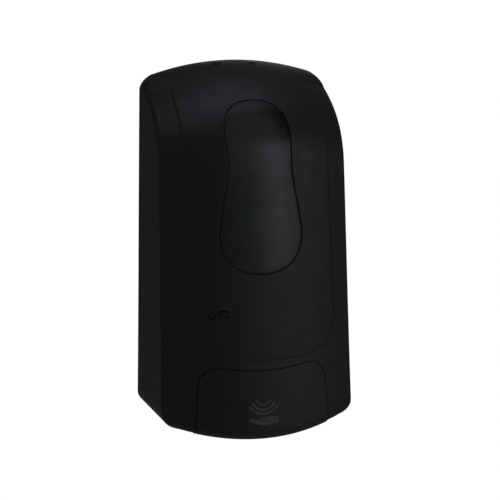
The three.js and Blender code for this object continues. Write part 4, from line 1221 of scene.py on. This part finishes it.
def build_cover_inside():
    """Hinge bosses, the catch for the latch hook, clip posts and stiffening ribs inside the cover."""
    sheet = Sheet()
    for side in (-1, 1):
        boss = [(2.9, -3.6), (6.5, -3.6), (6.5, 3.7), (2.9, 3.7)]
        sides = 64
        points = np.concatenate([level_ring(r, z, turn_angles(sides)) for r, z in boss])
        faces = []
        for row in range(4):
            faces += band_faces(row * sides, (row + 1) % 4 * sides, sides)
        placed = laid_across(points, PIVOT_OUT, PIVOT_Z) + np.array([side * 74.0, 0, 0])
        sheet.add(placed, faces)
        add_block(sheet, sorted((side * 71.0, side * 76.3)), (33, 45), (-107, -84), 0.5)
        for z in (-70, -20, 30):
            climb = z + 70
            add_block(sheet, sorted((side * 73.0, side * (75.6 - 0.008 * climb))), (18, 56 - 0.06 * climb),
                      (z - 0.7, z + 0.7), 0.3)
    add_block(sheet, (-10, 10), (25, 28.5), (129.5, 139), 0.4)
    for x in (-9.2, 0, 9.2):
        add_block(sheet, (x - 0.7, x + 0.7), (28.2, 31), (134, 136.6), 0.3)
    finish_sheet(sheet, "cover_inside", "cover", "cover_black")

    posts = Sheet()
    for outline, spacing in ((window_outline, 40.0), (panel_outline, 34.0)):
        loop = evenly(outline(1.7), spacing)
        loop = loop[loop[:, 1] > -128]
        flat = laid_flat(loop)
        near = lifted(flat)
        across = lifted(flat + (0.5, 0)) - near
        upward = lifted(flat + (0, 0.5)) - near
        normal = np.cross(across, upward)
        normal /= np.linalg.norm(normal, axis=1, keepdims=True)
        for place, n in zip(near, normal):
            add_post(posts, place - n * 3.9, -n)
    finish_sheet(posts, "cover_posts", "cover", "cover_black")


def add_post(sheet, base, axis):
    """A heat-staked post with a domed head, standing on the inside of the cover."""
    turn = np.array(Vector(axis).to_track_quat("Z", "Y").to_matrix())
    profile = [(0, -0.3), (1.0, -0.3), (1.0, 0.7), (1.7, 0.7), (1.4, 1.4), (0, 1.7)]
    points, faces = lathe_points(fillet(profile, 0.25, 2), 20)
    sheet.add(points @ turn.T + base, faces)


# ---- Pictogram on the panel ----

def arc_band(x, z, radius, spread, width):
    """A band with round ends along an arc that opens upwards."""
    angles = np.linspace(-spread, spread, 28)
    pieces = []
    for sign in (1, -1):
        reach = radius + sign * width / 2
        side = angles[::sign]
        pieces.append(np.stack([x + reach * np.sin(side), z - reach * np.cos(side)], axis=-1))
        end = sign * spread
        t = np.linspace(end - math.pi / 2, end + math.pi / 2, 7)[1:-1]
        cap = sign * width / 2 * np.stack([np.cos(t), np.sin(t)], axis=-1)
        pieces.append(cap + (x + radius * math.sin(end), z - radius * math.cos(end)))
    return np.concatenate(pieces)


HAND_START = (10.7, -126.8)
HAND = [
    ((8.2, -126.5), (6.2, -126), (4.3, -125.8)), ((2.3, -125.7), (0.9, -126.4), (-0.9, -126.6)),
    ((-3.1, -126.8), (-4.9, -126.3), (-5.7, -126.8)), ((-6.3, -127.3), (-5.7, -128.1), (-4.5, -128.2)),
    ((-2.9, -128.3), (-1.3, -128.2), (0.1, -128.4)), ((0.6, -128.6), (0.5, -129), (-0.1, -129.05)),
    ((-3.3, -129.2), (-7.3, -128.4), (-11.5, -127.1)), ((-13.1, -126.7), (-14.5, -127.3), (-13.9, -128.3)),
    ((-11.9, -129.9), (-8.9, -131.1), (-5.7, -132)), ((-2.7, -132.7), (1.1, -132.7), (4.1, -132.1)),
    ((6.3, -131.6), (8.1, -131.3), (10.7, -131.4)),
]
WAVES = [(-1.65, -110.4, 6.2, 1.05), (-1.65, -110.35, 10.1, 1.03), (-1.65, -109.6, 14.1, 0.93)]


def build_pictogram():
    loops = [arc_band(x, z, radius, spread, 1.65) for x, z, radius, spread in WAVES]
    loops.append(bezier_path(HAND_START, HAND, 8))
    sheet = Sheet()
    for loop in loops:
        flat = laid_flat(evenly(loop, 0.35))
        low, high = flat.min(axis=0), flat.max(axis=0)
        xs, zs = np.meshgrid(np.arange(low[0], high[0], 0.8), np.arange(low[1], high[1], 0.8))
        seeds = np.stack([xs.ravel(), zs.ravel()], axis=-1)
        seeds = clear_of(seeds[inside(seeds, flat)], flat, 0.3)
        points, faces = triangulated(flat, [], [], seeds)
        sheet.add(*slab(points, faces, -PRINT_DEPTH, PRINT_DEPTH))
    finish_sheet(sheet, "pictogram", "cover", "panel_black", material="print_grey")


# ---- Back plate, with the pockets on the side that faces the wall ----

PLATE_SLOT = "chassis_grey"
POCKET_DEEP = 1.3
POCKET_COLUMNS = [(-59, -31), (-28.6, -1.2), (1.2, 28.6), (31, 59)]
POCKET_ROWS = [(-119, -91), (-88.6, -60), (-57.6, -34.4), (-32, -4), (-1.6, 26.4), (28.8, 57), (59.4, 90),
               (92.4, 115.6), (118, 128)]
SCREW_ROWS = (2, 7)              # rows that leave a pad at both ends for the wall screws
WELD_REACH = 0.02 * MM


def rounded_box_outline(xs, zs, r):
    loop = []
    right, left, top, bottom = xs[1] - r, xs[0] + r, zs[1] - r, zs[0] + r
    for corner, (x, z) in enumerate(((right, top), (left, top), (left, bottom), (right, bottom))):
        for angle in np.linspace(0, math.pi / 2, 5) + corner * math.pi / 2:
            loop.append((x + r * math.cos(angle), z + r * math.sin(angle)))
    return np.array(loop)


def add_weld(obj):
    obj.modifiers.new("weld", "WELD").merge_threshold = WELD_REACH


def add_bevel(obj, width):
    """Rounds the edges between faces that meet at more than a slight angle. Width is in millimetres."""
    bevel = obj.modifiers.new("bevel", "BEVEL")
    bevel.width = width * MM
    bevel.segments = 2
    bevel.limit_method = "ANGLE"
    bevel.angle_limit = math.radians(40)
    bevel.harden_normals = True


def finish_mesh(mesh, material):
    """One material, and smooth shading up to the sharp edges."""
    mesh.materials.clear()
    mesh.materials.append(MATERIALS[material])
    mesh.shade_smooth()
    mesh.set_sharp_from_angle(angle=math.radians(32))


def build_wall_side():
    """The back plate again, with shallow pockets between ribs, and pads left round the four wall screws."""
    cutter = Sheet()
    for row, zs in enumerate(POCKET_ROWS):
        for column, xs in enumerate(POCKET_COLUMNS):
            if row in SCREW_ROWS and column in (0, 3):
                continue
            loop = rounded_box_outline(xs, zs, 3)
            count = len(loop)
            points = np.concatenate([np.stack([loop[:, 0], np.full(count, y), loop[:, 1]], axis=-1)
                                     for y in (1.0, -POCKET_DEEP)])
            ends = [tuple(range(count))[::-1], tuple(range(count, 2 * count))]
            cutter.add(points, ends + band_faces(0, count, count))
    tool = new_object("pockets", new_mesh("pockets", np.concatenate(cutter.points), cutter.faces))
    node = frame["nodes"]["back_plate"]
    plate = new_object("plate_shell", node.data.copy())
    plate.matrix_world = node.matrix_world.copy()
    add_weld(plate)
    cut = plate.modifiers.new("cut", "BOOLEAN")
    cut.operation = "DIFFERENCE"
    cut.object = tool
    add_bevel(plate, 0.45)
    bpy.context.view_layer.update()
    shaped = bpy.data.meshes.new_from_object(plate.evaluated_get(bpy.context.evaluated_depsgraph_get()))
    plate.modifiers.clear()
    plate.data = shaped
    bpy.data.objects.remove(tool)
    finish_mesh(shaped, PLATE_SLOT)
    even = plate.modifiers.new("even", "WEIGHTED_NORMAL")
    even.keep_sharp = True
    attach(plate, "wall_unit")
    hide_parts("back_plate")


# ---- Everything together ----

SOFTENED = {
    "latch_guide": 0.5, "latch_slider": 0.5, "battery_box": 0.5, "battery_door": 0.5,
    "drive_housing": 0.6, "refill_shelf": 0.5, "light_tower": 0.6, "gear_plate": 0.3, "main_board": 0.1,
    "board_connector": 0.3, "reed_switch": 0.3, "sensor_board": 0.1, "sensor_window": 0.3, "switch_body": 0.4,
    "power_switch_knob": 0.5, "cover_magnet": 0.3, "pump_yoke": 0.4,
    "hinge_pin_left": 0.4, "hinge_pin_right": 0.4, "guide_rod_left": 0.3, "guide_rod_right": 0.3,
    "gear_motor": 0.4, "gear_pin": 0.3, "output_gear": 0.15,
    "motor_pinion": 0.12, "board_capacitor": 0.4, "contact_strip_top": 0.1, "contact_strip_bottom": 0.1,
    "drop_light": 0.3, "battery_light": 0.3, "ir_emitter": 0.5, "ir_receiver": 0.5,
}


def dress_frame():
    """The CAD pieces that are still shown get their finish, softened edges and smooth shading."""
    slots = {piece["node"]: piece["material_slot"] for piece in frame["record"]["subparts"]}
    for name, node in frame["nodes"].items():
        finish_mesh(node.data, slots[name])
        if name in SOFTENED:
            add_weld(node)
            add_bevel(node, SOFTENED[name])


build_cover()
build_panel()
plate_piece("window_shell", window_outline, WINDOW_STEP, FLANGE, EDGE_RINGS, "smoked_clear", "window_lens")
for lamp, lamp_outline in (("drop", drop_outline), ("battery", battery_outline)):
    plate_piece(f"{lamp}_shell", lamp_outline, LAMP_STEP, LAMP_FLANGE, LAMP_RINGS, "clear_plastic",
                f"{lamp}_light_lens", "lamp_cover")
build_cover_inside()
build_pictogram()
build_bottle()
build_pump()
build_spring()
build_cells()
build_screws()
build_wall_side()
dress_frame()
